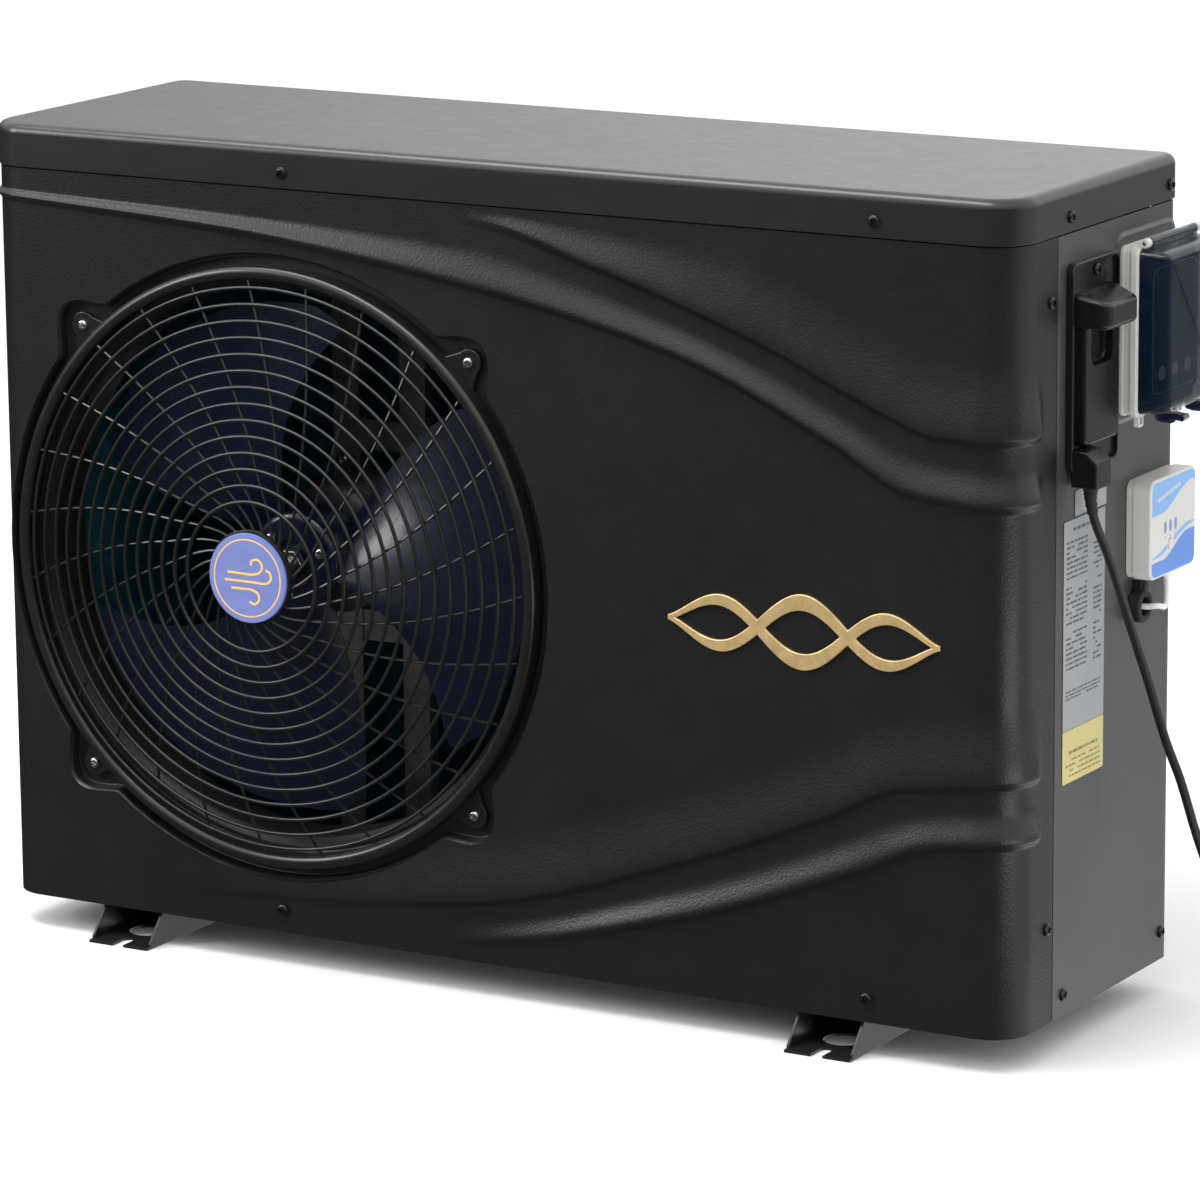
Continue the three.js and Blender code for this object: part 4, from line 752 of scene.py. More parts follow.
def screw(name, mesh, seat, facing, turn=20, body="root"):
    """A copy of a screw head, its seat at a point and its axis facing out along a direction."""
    made = linked(name, mesh)
    rotation = Vector(DIRECTIONS[facing]).to_track_quat("Z", "Y").to_matrix().to_4x4()
    made.matrix_world = Matrix.Translation(place(seat)) @ rotation @ Matrix.Rotation(radians(turn), 4, "Z")
    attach(made, body)
    return made


black_screw = screw_mesh("black_screw", 5.4, 3.2, "moulded_black")
silver_screw = screw_mesh("silver_screw", 5.0, 3.2, "steel")


COVER_ROW, FOOT_ROW = 728, 46


def casing_screws():
    """The black screws that hold the cover, the front and the side and rear panels."""
    random.seed(11)
    places = [("cover_front", (x, FRONT - 0.1, COVER_ROW), "-y") for x in (-199, 390)]
    places += [("panel_foot", (x, WALL_FRONT - 2.2, 53), "-y") for x in (-213, 383)]
    for side, facing in ((1, "+x"), (-1, "-x")):
        places += [("cover_side", (side * (HALF_WIDTH + 0.1), y, 727), facing) for y in (-59, 138)]
        places += [("panel_return", (side * (WALL_X + 0.1), -92.5, z), facing) for z in (116, 659)]
    places += [("side_panel", (WALL_X + 0.1, y, z), "+x") for y, z in ((-60, 50), (138, 57))]
    places += [("cover_rear", (x, BACK + 0.1, COVER_ROW), "+y") for x in (-500, -180, 130, 300, 500)]
    places += [("rear_panel", (x, WALL_BACK + 0.1, FOOT_ROW), "+y") for x in (125, 300, 480)]
    places += [("rear_guard", (x, WALL_BACK + 0.1, 44), "+y") for x in (-470, -180, 90)]
    places += [("left_guard", (-WALL_X - 0.1, y, FOOT_ROW), "-x") for y in (-60, 118)]
    for i, (name, seat, facing) in enumerate(places):
        screw(f"{name}_screw_{i + 1}", black_screw, seat, facing, random.uniform(0, 90))


casing_screws()


# ---- grille
WIRE, SPOKE_WIRE = 3.6, 2.7
RINGS, SPOKES = 14, 27
INNER_RING, OUTER_RING = 68, 256
HUB, CURL_RADIUS = 43, 100
SPOKE_START, SPOKE_SWEEP, SPOKE_CURL = 80.6, 20.5, 12
LUG_ANGLES = [pi / 4 + k * pi / 2 for k in range(4)]


def dome(radius):
    """How far forward the grille stands at a radius."""
    return RIM_Y + 2 - DOME * (1 - (radius / OPENING) ** 2)


def spoke_bend(radius):
    """How far a spoke has swept back from its outer end, in degrees, with more curl close to the hub."""
    curl = max(0.0, CURL_RADIUS - radius) / (CURL_RADIUS - HUB)
    return SPOKE_SWEEP * log(OPENING / radius) + SPOKE_CURL * curl ** 2


def around(radius, turn, y):
    return (FAN_X + radius * cos(turn), y, FAN_Z + radius * sin(turn))


def grille():
    inner, outer = OPENING + 1, RECESS - 9
    rim_back = DISH_Y - GAP
    front_arc = [(inner + 6 + 6 * cos(pi * (1 - i / 8)), RIM_Y + 5 - 5 * sin(pi * i / 8))
                 for i in range(9)]
    parts = [ring_of([(inner, rim_back), *front_arc, (outer, rim_back)][::-1], "y", FAN, 160)]
    for turn in LUG_ANGLES:
        tongue = []
        for i in range(13):
            swing = pi / 2 * (i / 6 - 1)
            tongue.append((LUG_PITCH + 12.5 * cos(swing), 12.5 * sin(swing)))
        tongue += [(outer + 1, 19), (outer - 5, 26), (outer - 5, -26), (outer + 1, -19)]
        turned = [(FAN_X + a * cos(turn) - b * sin(turn), FAN_Z + a * sin(turn) + b * cos(turn))
                  for a, b in tongue]
        parts.append(slab(turned, "y", rim_back - 5, rim_back, 1.4, 3))
    for i in range(RINGS):
        radius = INNER_RING + (OUTER_RING - INNER_RING) * i / (RINGS - 1)
        parts.append(ring_of(circle(radius, dome(radius), WIRE / 2, 10), "y", FAN, 120))
    for i in range(SPOKES):
        line = []
        for k in range(25):
            radius = HUB - 3 + (OPENING + 3 - HUB) * k / 24
            turn = radians(SPOKE_START + i * 360 / SPOKES - spoke_bend(radius))
            line.append(around(radius, turn, dome(radius) + 2.4))
        parts.append(sweep(line, circle(0, 0, SPOKE_WIRE / 2, 8)))
    hub_front = dome(0)
    parts.append(lathe([(HUB - 1.2, hub_front), (HUB - 0.3, hub_front + 0.4), (HUB, hub_front + 1.3),
                        (HUB, hub_front + 5), (HUB - 1, hub_front + 6)], "y", FAN, 72))
    build("fan_grille_wires", merged(*parts), "black_wire", stands_for=["fan_grille"], sharp=40)
    for k, turn in enumerate(LUG_ANGLES):
        seat = around(LUG_PITCH, turn, rim_back - 5.05)
        screw(f"grille_screw_{k + 1}", silver_screw, seat, "-y", 15 + 33 * k)


grille()


def stroke(points, width, y, thick, per=6):
    """A flat raised line on the badge, through points given round the fan's centre."""
    line = spline([(FAN_X + a, y, FAN_Z + b) for a, b in points], per)
    half = width / 2
    section = [(-half, 0), (half, 0), (half, thick), (-half, thick)]
    return sweep(line, section, up=(0, -1, 0))


def badge():
    """Blue disc with a plain sign for moving air: three curling strokes."""
    badge_lo, badge_hi = span("grille_badge")
    radius = (badge_hi.x - badge_lo.x) / 2
    face, back = badge_lo.y, badge_hi.y
    disc = lathe([(radius - 0.4, back), (radius, back - 0.5), (radius, face + 1.0),
                  (radius - 0.35, face + 0.35),
                  (radius - 1.1, face + 0.08), (radius - 3, face)], "y", FAN, 96)
    build("grille_badge_disc", disc, "badge_blue", stands_for=["grille_badge"])
    swirls = [
        [(-21, 4), (-8, 4), (6, 4), (14, 7), (16, 13), (11, 18), (5, 16), (4, 12)],
        [(-24, -3), (-10, -3), (8, -3), (20, -3), (25, 1), (24, 7), (20, 9)],
        [(-17, -10), (-6, -10), (4, -10), (11, -13), (12, -19), (7, -23), (2, -21)],
    ]
    lines = [stroke(points, 2.0, face - 0.02, 0.2) for points in swirls]
    ring = ring_of([(34.4, face - 0.2), (35.6, face - 0.2), (35.6, face + 0.1), (34.4, face + 0.1)], "y",
                   FAN, 96)
    build("grille_badge_print", merged(*lines, ring), "print_orange")


badge()


# ---- casing sheets
def arc(a, b, radius, start, end, steps=8):
    """Points on an arc between two angles in degrees."""
    turns = [radians(start + (end - start) * i / steps) for i in range(steps + 1)]
    return [(a + radius * cos(turn), b + radius * sin(turn)) for turn in turns]


def corner_sheet(side, front, back_end):
    """Plan of a bent sheet: along the side, round the rear corner, to back_end along the back."""
    radius = REAR_CORNER - SEAM
    centre_x, centre_y = WALL_X - radius, WALL_BACK - radius
    outer = [(WALL_X, front), *arc(centre_x, centre_y, radius, 0, 90), (back_end, WALL_BACK)]
    inner = [(back_end, WALL_BACK - SHEET), *arc(centre_x, centre_y, radius - SHEET, 90, 0),
             (WALL_X - SHEET, front)]
    plan = outer + inner
    return plan if side > 0 else [(-x, y) for x, y in reversed(plan)]


def hole(axis, centre, radius, low, high, steps=48):
    return lathe([(radius, low), (radius, high)], axis, centre, steps)


BUSH = (0, 75, 367)
TERMINAL_Y = -13
inlet_lo, inlet_hi = span("water_inlet_union")
outlet_lo, outlet_hi = span("water_outlet_union")
PORT_X = (inlet_lo.x + inlet_hi.x) / 2
PORTS = sorted([(inlet_lo.z + inlet_hi.z) / 2, (outlet_lo.z + outlet_hi.z) / 2])
PORT_RADIUS = 30
NUT_GRIPS = 16


def right_side_panel():
    """Painted steel side with a pad pressed out for the control box and openings for the wiring."""
    lo, hi = span("right_side_panel")
    sheet_shape = slab(corner_sheet(1, lo.y, WALL_X - SHEET - 24), "z", lo.z, hi.z, 0.2, 1)
    panel = build("right_side_sheet", sheet_shape, "grey_steel", stands_for=["right_side_panel"])
    pad = rounded(34, 148, 537, 694, 12)
    slope = [(-5, WALL_X - 0.8), (-5, WALL_X + 0.02), (-3.4, WALL_X + 0.25), (-1.6, WALL_X + 1.1), (0, hi.x)]
    pressed = loft([outlined(inset(pad, amount), "x", x) for amount, x in slope])
    access = slab(rounded(TERMINAL_Y - 24, TERMINAL_Y + 24, 546, 621, 6), "x", WALL_X - 9, WALL_X + 9, 0.01,
                  1)
    entry = hole("x", BUSH, 12, WALL_X - 9, WALL_X + 9)
    carve(panel, (JOIN, pressed), (CUT, access), (CUT, entry))


def rear_service_panel():
    """Rear cover of the machine side, with two stiffening beads, air slots and the two port holes."""
    lo, hi = span("rear_service_panel")
    plate = slab(rounded(lo.x, hi.x, lo.z, hi.z, 2), "y", lo.y, hi.y, 0.25, 1)
    panel = build("rear_service_sheet", plate, "grey_steel", stands_for=["rear_service_panel"])
    steps = [(CUT, hole("y", (PORT_X, 0, z), PORT_RADIUS + 3, lo.y - 9, hi.y + 9)) for z in PORTS]
    for i in range(6):
        z = 590 + 14 * i
        steps.append((CUT, slab(rounded(300, 420, z, z + 5, 2.4), "y", lo.y - 9, hi.y + 9, 0.01, 1)))
    carve(panel, *steps)
    for i, x in enumerate((lo.x + 12, hi.x - 12)):
        bead = slab(rounded(x - 4, x + 4, lo.z + 60, hi.z - 60, 4), "y", hi.y - 0.4, hi.y + 0.9, 0.8, 3)
        build(f"rear_panel_bead_{i + 1}", bead, "grey_steel")


def rear_corner_post():
    lo, hi = span("rear_corner_post")
    plan = corner_sheet(-1, lo.y, WALL_X - (hi.x - lo.x))
    build("rear_corner_sheet", slab(plan, "z", lo.z, hi.z, 0.2, 1), "grey_steel",
          stands_for=["rear_corner_post"])


def foot_rail(name, node):
    """Folded steel rail with a drilled plate and a slot at each tip."""
    lo, hi = span(node)
    middle = (lo.x + hi.x) / 2
    plate = slab(rounded(lo.x, hi.x, lo.y, hi.y, 2), "z", 0, 2.5, 0.35, 2)
    rail = build(name, plate, "black_steel", stands_for=[node])
    side = [(lo.y + 6, 1), (hi.y - 6, 1), (hi.y - 6, 5), (BACK - 8, hi.z), (FRONT + 8, hi.z), (lo.y + 6, 5)]
    steps = [(JOIN, slab(side, "x", x, x + 2.5, 0.3, 1)) for x in (lo.x, hi.x - 2.5)]
    for end, tip in ((-1, lo.y), (1, hi.y)):
        steps.append((CUT, hole("z", (middle, tip - end * 53, 0), 19, -5, 9)))
        near, far = sorted((tip - end * 24, tip + end * 5))
        steps.append((CUT, slab(rounded(middle - 6, middle + 6, near, far, 5.5), "z", -5, 9, 0.01, 1)))
    carve(rail, *steps)


def water_port(kind):
    """Union socket with its collar, and the gripped nut that turns on it."""
    lo, hi = span(f"water_{kind}_union")
    centre = (PORT_X, 0, (lo.z + hi.z) / 2)
    collar = BACK + 8
    profile = [(25, lo.y + 12), (PORT_RADIUS, lo.y + 12), (PORT_RADIUS, collar), (34.4, collar),
               (35, collar + 0.6),
               (35, collar + 4.4), (34.4, collar + 5), (PORT_RADIUS, collar + 5), (PORT_RADIUS, hi.y - 1.5),
               (PORT_RADIUS - 1, hi.y - 0.3), (PORT_RADIUS - 1.8, hi.y), (26, hi.y), (25, hi.y - 1)]
    socket = merged(ring_of(profile, "y", centre, 72), hole("y", centre, PORT_RADIUS, lo.y, lo.y + 12.4, 72))
    build(f"{kind}_socket", socket, "moulded_black", stands_for=[f"water_{kind}_union"])
    nut_lo, nut_hi = span(f"{kind}_union_nut")
    y0, y1 = nut_lo.y, nut_hi.y
    ring = [(PORT_RADIUS + 0.8, y0 + 0.8), (32, y0), (39.6, y0), (41, y0 + 1.4), (41, y1 - 3),
            (39.4, y1 - 0.8),
            (38, y1), (32, y1), (PORT_RADIUS + 0.8, y1 - 0.8)]
    parts = [ring_of(ring, "y", centre, 96)]
    for i in range(NUT_GRIPS):
        grip = slab(rounded(39.5, 43, -2.4, 2.4, 1.2, 3), "y", y0 + 2.5, y1 - 4, 0.8, 2)
        turn = Matrix.Rotation(2 * pi * i / NUT_GRIPS, 4, "Y")
        parts.append(moved(grip, Matrix.Translation(centre) @ turn))
    build(f"{kind}_nut_gripped", merged(*parts), "moulded_black", f"{kind}_nut", [f"{kind}_union_nut"])


right_side_panel()
rear_service_panel()
rear_corner_post()
foot_rail("foot_rail_left_folded", "foot_rail_left")
foot_rail("foot_rail_right_folded", "foot_rail_right")
water_port("inlet")
water_port("outlet")


# ---- terminal cover and cable gland
def terminal_cover():
    """Moulded cover: framed plate, raised face, hollow hood that overhangs the finger recess."""
    lo, hi = span("terminal_cover")
    x0, plate_x = lo.x, lo.x + 3
    outline = rounded(lo.y, hi.y, lo.z, hi.z, 9)
    cover = build("terminal_cover_moulding", slab(outline, "x", x0, plate_x, 0.7), "moulded_black",
                  stands_for=["terminal_cover"], sharp=40)
    rim = slab(outline, "x", plate_x - 1, plate_x + 3.2, 1.1, 4, both=False)
    rim_inside = slab(inset(outline, 2.8), "x", plate_x, plate_x + 9, 0.01, 1)
    face = slab(rounded(-50, 16, GLAND_HI.z + 1, 637, 6), "x", plate_x - 1, x0 + 12, 3, 5, both=False)
    plan = [(x0 + 1, lo.y + 9), *arc(x0 + 23, lo.y + 22, 11, -82, 0), *arc(x0 + 23, 0, 11, 0, 58),
            (x0 + 1, hi.y - 4)]
    hood = slab(plan, "z", 631, 661, 4.5, 6)
    sloped = []
    for p in hood[0]:
        out = min(1.0, max(0.0, (p.x - x0 - 5) / 29))
        sloped.append((p.x, p.y, p.z - 8 * out * max(0.0, (p.z - 640) / 21)))
    grip = slab(rounded(-40, 2, 597, 651, [9, 9, 4, 4]), "x", plate_x + 1, x0 + 29, 2.5, 4)
    carve(cover, (JOIN, rim), (CUT, rim_inside), (JOIN, face), (JOIN, (sloped, hood[1])),
          (CUT, grip), sharp=40)
    screw("terminal_cover_screw_top", black_screw, (plate_x + 0.1, TERMINAL_Y, 676), "+x",
          10)
    screw("terminal_cover_screw_low", black_screw, (plate_x + 0.1, -57, 516), "+x", 55)


def cable_gland():
    """Gland block with a sloped top, its clamping nut, and the ribbed sleeve round the cord."""
    x0, front_x = GLAND_LO.x, GLAND_LO.x + 24
    low, high = GLAND_LO.z, GLAND_HI.z
    side = [(x0, low), (front_x, low), (front_x, high - 10), (x0 + 15, high - 1), (x0 + 4, high), (x0, high)]
    block = build("cable_gland_block", slab(side, "y", -60, -30, 1.8, 4), "moulded_black",
                  stands_for=["cable_gland"], sharp=30)
    nut_z = (low + high) / 2 - 2
    nut = slab(circle(x0 + 11, nut_z, 9, 6), "y", -31, -19.5, 1.4, 3)
    cap = lathe([(6.8, -20), (6.8, -18.6), (5.6, -17.6)], "y", (x0 + 11, 0, nut_z), 40)
    mouth = lathe([(7.6, low - 0.2), (7.6, low + 3)], "z", (CORD_START[0], CORD_START[1], 0), 40)
    carve(block, (JOIN, nut), (JOIN, cap), (CUT, mouth), sharp=30)
    line = spline(CORD_ROUTE[:4], 12)[:22]
    sizes = [6.9 - 2.1 * i / 21 - (0.5 if i % 4 > 1 and i > 3 else 0) for i in range(22)]
    build("cord_sleeve", sweep(line, circle(0, 0, 1, 28), sizes=sizes), "rubber", sharp=50)


terminal_cover()
cable_gland()


# ---- control box
box_lo, box_hi = span("control_box_base")
module_lo, module_hi = span("controller_module")
BOX_X0, BOX_Y0, BOX_Y1 = box_lo.x, box_lo.y, box_hi.y
BOX_X1 = BOX_X0 + 17
BOX_Z0, BOX_Z1 = 541, 687
HINGE = (BOX_X1 + 4, 0, BOX_Z1 + 4)
KEYS_Y = [(BOX_Y0 + BOX_Y1) / 2 + dy for dy in (-26, 0, 26)]
KEYS_Z = BOX_Z0 + 34


def control_box_base():
    """White tray with a stepped lip, hinge ears and catch loops."""
    outline = rounded(BOX_Y0, BOX_Y1, BOX_Z0, BOX_Z1, 6)
    base = build("control_box_tray", slab(outline, "x", BOX_X0, BOX_X1, 0.7), "white_plastic",
                 stands_for=["control_box_base"])
    lip = slab(inset(outline, -1.4), "x", BOX_X1 - 7, BOX_X1 - 1.2, 0.6)
    foot = slab(inset(outline, -0.9), "x", BOX_X0, BOX_X0 + 3.5, 0.5)
    inside = slab(inset(outline, 2), "x", BOX_X0 + 2, BOX_X1 + 5, 0.4, 2)
    steps = [(JOIN, lip), (JOIN, foot), (CUT, inside)]
    for y in (BOX_Y0 + 3, BOX_Y1 - 11):
        neck = [(BOX_X1 - 5, BOX_Z1 - 2.4), (BOX_X1 - 0.2, BOX_Z1 - 2.4), (BOX_X1 - 0.2, BOX_Z1 + 0.4),
                (HINGE[0], BOX_Z1 + 1), (HINGE[0], BOX_Z1 + 5), (BOX_X1 - 2, BOX_Z1 + 5)]
        steps.append((JOIN, slab(neck, "y", y + 0.5, y + 7.5, 0.4, 2)))
        steps.append((JOIN, slab(circle(HINGE[0], HINGE[2], 4, 32), "y", y, y + 8, 0.5, 2)))
        steps.append((CUT, hole("y", HINGE, 2.1, y - 2, y + 10, 24)))
    for y in (BOX_Y0 + 6, BOX_Y1 - 30):
        loop = rounded(y, y + 10, BOX_Z0 - 10.5, BOX_Z0 + 1, 2.5)
        steps.append((JOIN, slab(loop, "x", BOX_X1 - 6, BOX_X1 - 1, 0.5, 2)))
        opening = rounded(y + 2.3, y + 7.7, BOX_Z0 - 8, BOX_Z0 - 1.5, 1.5)
        steps.append((CUT, slab(opening, "x", BOX_X1 - 9, BOX_X1 + 3, 0.01, 1)))
    carve(base, *steps)
    pin_lo, pin_hi = span("lid_hinge_pin")
    pin = lathe([(1.3, pin_lo.y), (1.8, pin_lo.y + 0.5), (1.8, pin_hi.y - 0.5), (1.3, pin_hi.y)], "y", HINGE,
                24)
    build("lid_pin", pin, "steel", stands_for=["lid_hinge_pin"])


def control_box_lid():
    """Smoked clear shell with tapered sides, its hinge barrel and two dark catches."""
    x0, x1 = BOX_X1 + 0.3, BOX_X1 + 27
    outline = rounded(BOX_Y0 + 1, BOX_Y1 - 1, BOX_Z0 + 1, BOX_Z1 - 1, 8)
    taper = [(0, x0), (0.2, x0 + 1.5), (0.5, x0 + 3), (1.6, x0 + 14), (2.6, x1 - 6), (3.6, x1 - 3),
             (5.2, x1 - 1.1),
             (7.2, x1 - 0.25), (9.5, x1)]
    shell = build("control_box_shell", loft([outlined(inset(outline, a), "x", x) for a, x in taper]),
                  "smoked_clear",
                  "box_lid", ["control_box_lid"], sharp=40)
    within = [(2, x0 - 1), (2.2, x0 + 3), (3.6, x0 + 14), (4.6, x1 - 7), (6, x1 - 4), (8.2, x1 - 2.3),
              (11, x1 - 2)]
    hollow = loft([outlined(inset(outline, a), "x", x) for a, x in within])
    y0, y1 = BOX_Y0 + 13, BOX_Y1 - 13
    web = [(HINGE[0] + 0.2, BOX_Z1 - 2.2), (HINGE[0] + 4, BOX_Z1 - 2.2), (HINGE[0] + 4, HINGE[2]),
           (HINGE[0] + 0.2, HINGE[2])]
    barrel = slab(circle(HINGE[0], HINGE[2], 4, 36), "y", y0, y1, 0.8)
    carve(shell, (CUT, hollow), (JOIN, slab(web, "y", y0 + 0.6, y1 - 0.6, 0.2, 1)), (JOIN, barrel),
          (CUT, hole("y", HINGE, 2.1, BOX_Y0, BOX_Y1, 24)), sharp=40, flatten=True)
    catches = []
    for y in (BOX_Y0 + 31, BOX_Y1 - 23):
        side = [(x0 + 4.5, BOX_Z0 + 0.6), (x0 + 4.5, BOX_Z0 - 5), (x0 + 7, BOX_Z0 - 7), (x0 + 17, BOX_Z0 - 7),
                (x0 + 21, BOX_Z0 - 4.5), (x1 + 4, BOX_Z0 - 5.5), (x1 + 6, BOX_Z0 - 3), (x1 + 5, BOX_Z0 + 0.3),
                (x1 - 5, BOX_Z0 + 0.8)]
        catches.append(slab(side, "y", y - 6, y + 6, 1.0, 3))
        for rib in (-3, 0, 3):
            catches.append(slab(rounded(x0 + 9, x0 + 20, BOX_Z0 - 8.2, BOX_Z0 - 6, 0.6, 3), "y",
                                y + rib - 0.7,
                                y + rib + 0.7, 0.3, 2))
    build("lid_catches", merged(*catches), "latch_violet", "box_lid")


def controller():
    """Display unit behind the lid: dark body, glossy window, fine light outline, three keys."""
    lo, hi = module_lo, module_hi
    outline = rounded(lo.y, hi.y, lo.z, hi.z, 6)
    unit = build("controller_housing", slab(outline, "x", lo.x, hi.x, 1.6, 4), "moulded_black",
                 stands_for=["controller_module"])
    carve(unit, *[(CUT, lathe([(6.3, hi.x - 7), (6.3, hi.x - 0.8), (7, hi.x + 1)], "x", (0, y, KEYS_Z), 40))
                  for y in KEYS_Y])
    window = rounded(lo.y + 8, hi.y - 8, lo.z + 38, hi.z - 8, 4)
    build("controller_window", slab(window, "x", hi.x - 0.5, hi.x + 0.5, 0.4, 2), "screen_dark")
    frame_line = [(hi.x + 0.02, a, b) for a, b in rounded(lo.y + 4, hi.y - 4, lo.z + 5, hi.z - 4, 10, 10)]
    build("controller_line", sweep(frame_line, circle(0, 0, 0.5, 8), closed=True), "print_grey_light")
    for k, y in enumerate(KEYS_Y):
        key_lo, key_hi = span(f"controller_key_{k + 1}")
        profile = [(5.7, key_lo.x), (6, key_lo.x + 0.3), (6, key_hi.x - 1.2), (5.7, key_hi.x - 0.5),
                   (4.9, key_hi.x - 0.1), (3.5, key_hi.x), (2, key_hi.x - 0.25)]
        build(f"controller_button_{k + 1}", lathe(profile, "x", (0, y, KEYS_Z), 40), "white_plastic",
              f"key_{k + 1}",
              [f"controller_key_{k + 1}"])


control_box_base()
control_box_lid()
controller()


# ---- network module, bush and lead
net_lo, net_hi = span("wifi_module_cover")
button_lo, button_hi = span("wifi_button")
BUTTON = (0, (button_lo.y + button_hi.y) / 2, (button_lo.z + button_hi.z) / 2)


def face_print(name, outline, look, x, thick=0.12):
    """A flat print on a face that looks to the right."""
    return build(name, slab(outline, "x", x - 0.05, x + thick, 0.02, 1), look)


def wave_edge(y_from, y_to, y_start, y_end, z_start, z_end, steps=28):
    """Points across a face, their height going from z_start to z_end in an S from y_start to y_end."""
    across = [y_from + (y_to - y_from) * i / steps for i in range(steps + 1)]
    return [(y, z_start + (z_end - z_start) * eased(y, y_start, y_end)) for y in across]


def network_module():
    """White box with a blue wave at the top and the bottom, three lamps and a round button."""
    base_lo, base_hi = span("wifi_module_base")
    back = slab(rounded(base_lo.y, base_hi.y, base_lo.z, base_hi.z, 8), "x", base_lo.x, base_hi.x, 0.5)
    build("network_back", back, "white_plastic", stands_for=["wifi_module_base"])
    outline = rounded(net_lo.y, net_hi.y, net_lo.z, net_hi.z, 9)
    cover = build("network_cover", slab(outline, "x", net_lo.x, net_hi.x, 2.2, 6, both=False),
                  "white_plastic",
                  stands_for=["wifi_module_cover"])
    pocket = lathe([(4.8, net_hi.x - 7), (4.8, net_hi.x - 0.4), (5.3, net_hi.x + 0.2)], "x", BUTTON, 40)
    carve(cover, (CUT, pocket))
    knob = [(4.2, button_lo.x), (4.5, button_lo.x + 0.3), (4.5, button_hi.x - 0.9), (4.1, button_hi.x - 0.3),
            (3.2, button_hi.x), (1.5, button_hi.x - 0.15)]
    build("network_button", lathe(knob, "x", BUTTON, 40), "white_plastic", "wifi_button", ["wifi_button"])

    x = net_hi.x
    y0, y1, z0, z1 = net_lo.y + 2.3, net_hi.y - 2.3, net_lo.z + 2.3, net_hi.z - 2.3
    upper_wave = wave_edge(y1, y0, y0 + 18, y1 - 8, z1 - 29, z1 - 9)
    top = upper_wave + [(y0, z1 - 7), *arc(y0 + 7, z1 - 7, 7, 180, 90)[1:], *arc(y1 - 7, z1 - 7, 7, 90, 0)]
    face_print("network_wave_top", top[::-1], "print_sky", x)
    lower_wave = wave_edge(y0, y1, y0 + 22, y1 - 14, z0 + 13, z0 + 31)
    bottom = lower_wave + [(y1, z0 + 7), *arc(y1 - 7, z0 + 7, 7, 0, -90)[1:],
                           *arc(y0 + 7, z0 + 7, 7, 270, 180)]
    face_print("network_wave_low", bottom[::-1], "print_blue", x)
    swirl = spline([(x, y0 + 1, z0 + 17), (x, y0 + 16, z0 + 18.5), (x, y0 + 34, z0 + 24),
                    (x, y0 + 56, z0 + 32),
                    (x, y1 - 14, z0 + 36), (x, y1 - 0.5, z0 + 37)], 8)
    thickness = [0.4 + 1.9 * sin(pi * i / (len(swirl) - 1)) for i in range(len(swirl))]
    flat = [(-1, -0.05), (1, -0.05), (1, 0.06), (-1, 0.06)]
    ribbon = [[point + Vector((b + 0.05, 0, a * size)) for a, b in flat] for size,
              point in zip(thickness, swirl)]
    ribbon = [part for i, part in enumerate(ribbon) if abs(swirl[i].y - BUTTON[1]) > 6]
    near = [part for part in ribbon if part[0].y < BUTTON[1]]
    far = [part for part in ribbon if part[0].y > BUTTON[1]]
    build("network_swirl", merged(loft(near), loft(far)), "print_sky")
    lamps = []
    for k in range(3):
        y = BUTTON[1] + 10.5 * (k - 1)
        oval = [(y + 2.6 * a, BUTTON[2] + 16 + 5.4 * b) for a, b in circle(0, 0, 1, 28)]
        dot = circle(y, BUTTON[2] + 7, 0.9, 16)
        lamps += [slab(oval, "x", x - 0.3, x + 0.35, 0.3, 3), slab(dot, "x", x - 0.3, x + 0.1, 0.05, 1)]
    build("network_lamps", merged(*lamps), "lamp_blue")
    mark = [slab(rounded(y0 + 12 + 5.2 * k, y0 + 15.6 + 5.2 * k, z1 - 18 + 0.9 * k, z1 - 14.5 + 0.9 * k, 0.8,
                         2), "x",
                 x + 0.02, x + 0.16, 0.02, 1) for k in range(9)]
    build("network_dashes", merged(*mark), "white_plastic")


def cable_bush():
    """Rubber bush with a hanging strap, and the white lead that goes through it."""
    lo, hi = span("cable_entry_bush")
    inner = SIDE - 12
    ring = [(8.5, hi.x - 1.2), (9.7, hi.x), (13, hi.x), (14.5, hi.x - 1.5), (14.5, SIDE + 0.8), (13.8, SIDE),
            (11.7, SIDE), (11.7, lo.x + 0.5), (11.2, lo.x), (9, lo.x), (8.5, lo.x + 0.5)]
    strap = slab(rounded(BUSH[1] - 3, BUSH[1] + 8, BUSH[2] + 9, BUSH[2] + 22, 3), "x", SIDE, SIDE + 9, 1.5, 4)
    lump = lathe([(4.6, SIDE + 7), (4.6, SIDE + 10), (4, SIDE + 11), (2.4, SIDE + 11.6)], "x",
                 (0, BUSH[1] + 2.5, BUSH[2] + 17), 28)
    build("entry_bush", merged(ring_of(ring, "x", BUSH, 64), strap, lump), "rubber",
          stands_for=["cable_entry_bush"])
    route = [(SIDE + 12, net_lo.y + 58, net_lo.z - 0.6), (SIDE + 12, net_lo.y + 58, net_lo.z - 7),
             (SIDE + 18, net_lo.y + 46, net_lo.z - 21), (SIDE + 24, net_lo.y + 30, net_lo.z - 27),
             (SIDE + 22, BUSH[1] + 3, BUSH[2] + 1), (SIDE + 12, BUSH[1], BUSH[2]), (inner, BUSH[1], BUSH[2])]
    lead = sweep(spline(route, 10), circle(0, 0, 2.6, 20))
    build("network_lead", lead, "white_cable", stands_for=["wifi_lead"])
    sleeve = lathe([(4.4, net_lo.z - 0.2), (4.2, net_lo.z - 3), (3.2, net_lo.z - 8)], "z",
                   (SIDE + 12, net_lo.y + 58, 0), 28)
    build("lead_sleeve", sleeve, "white_cable")


network_module()
cable_bush()


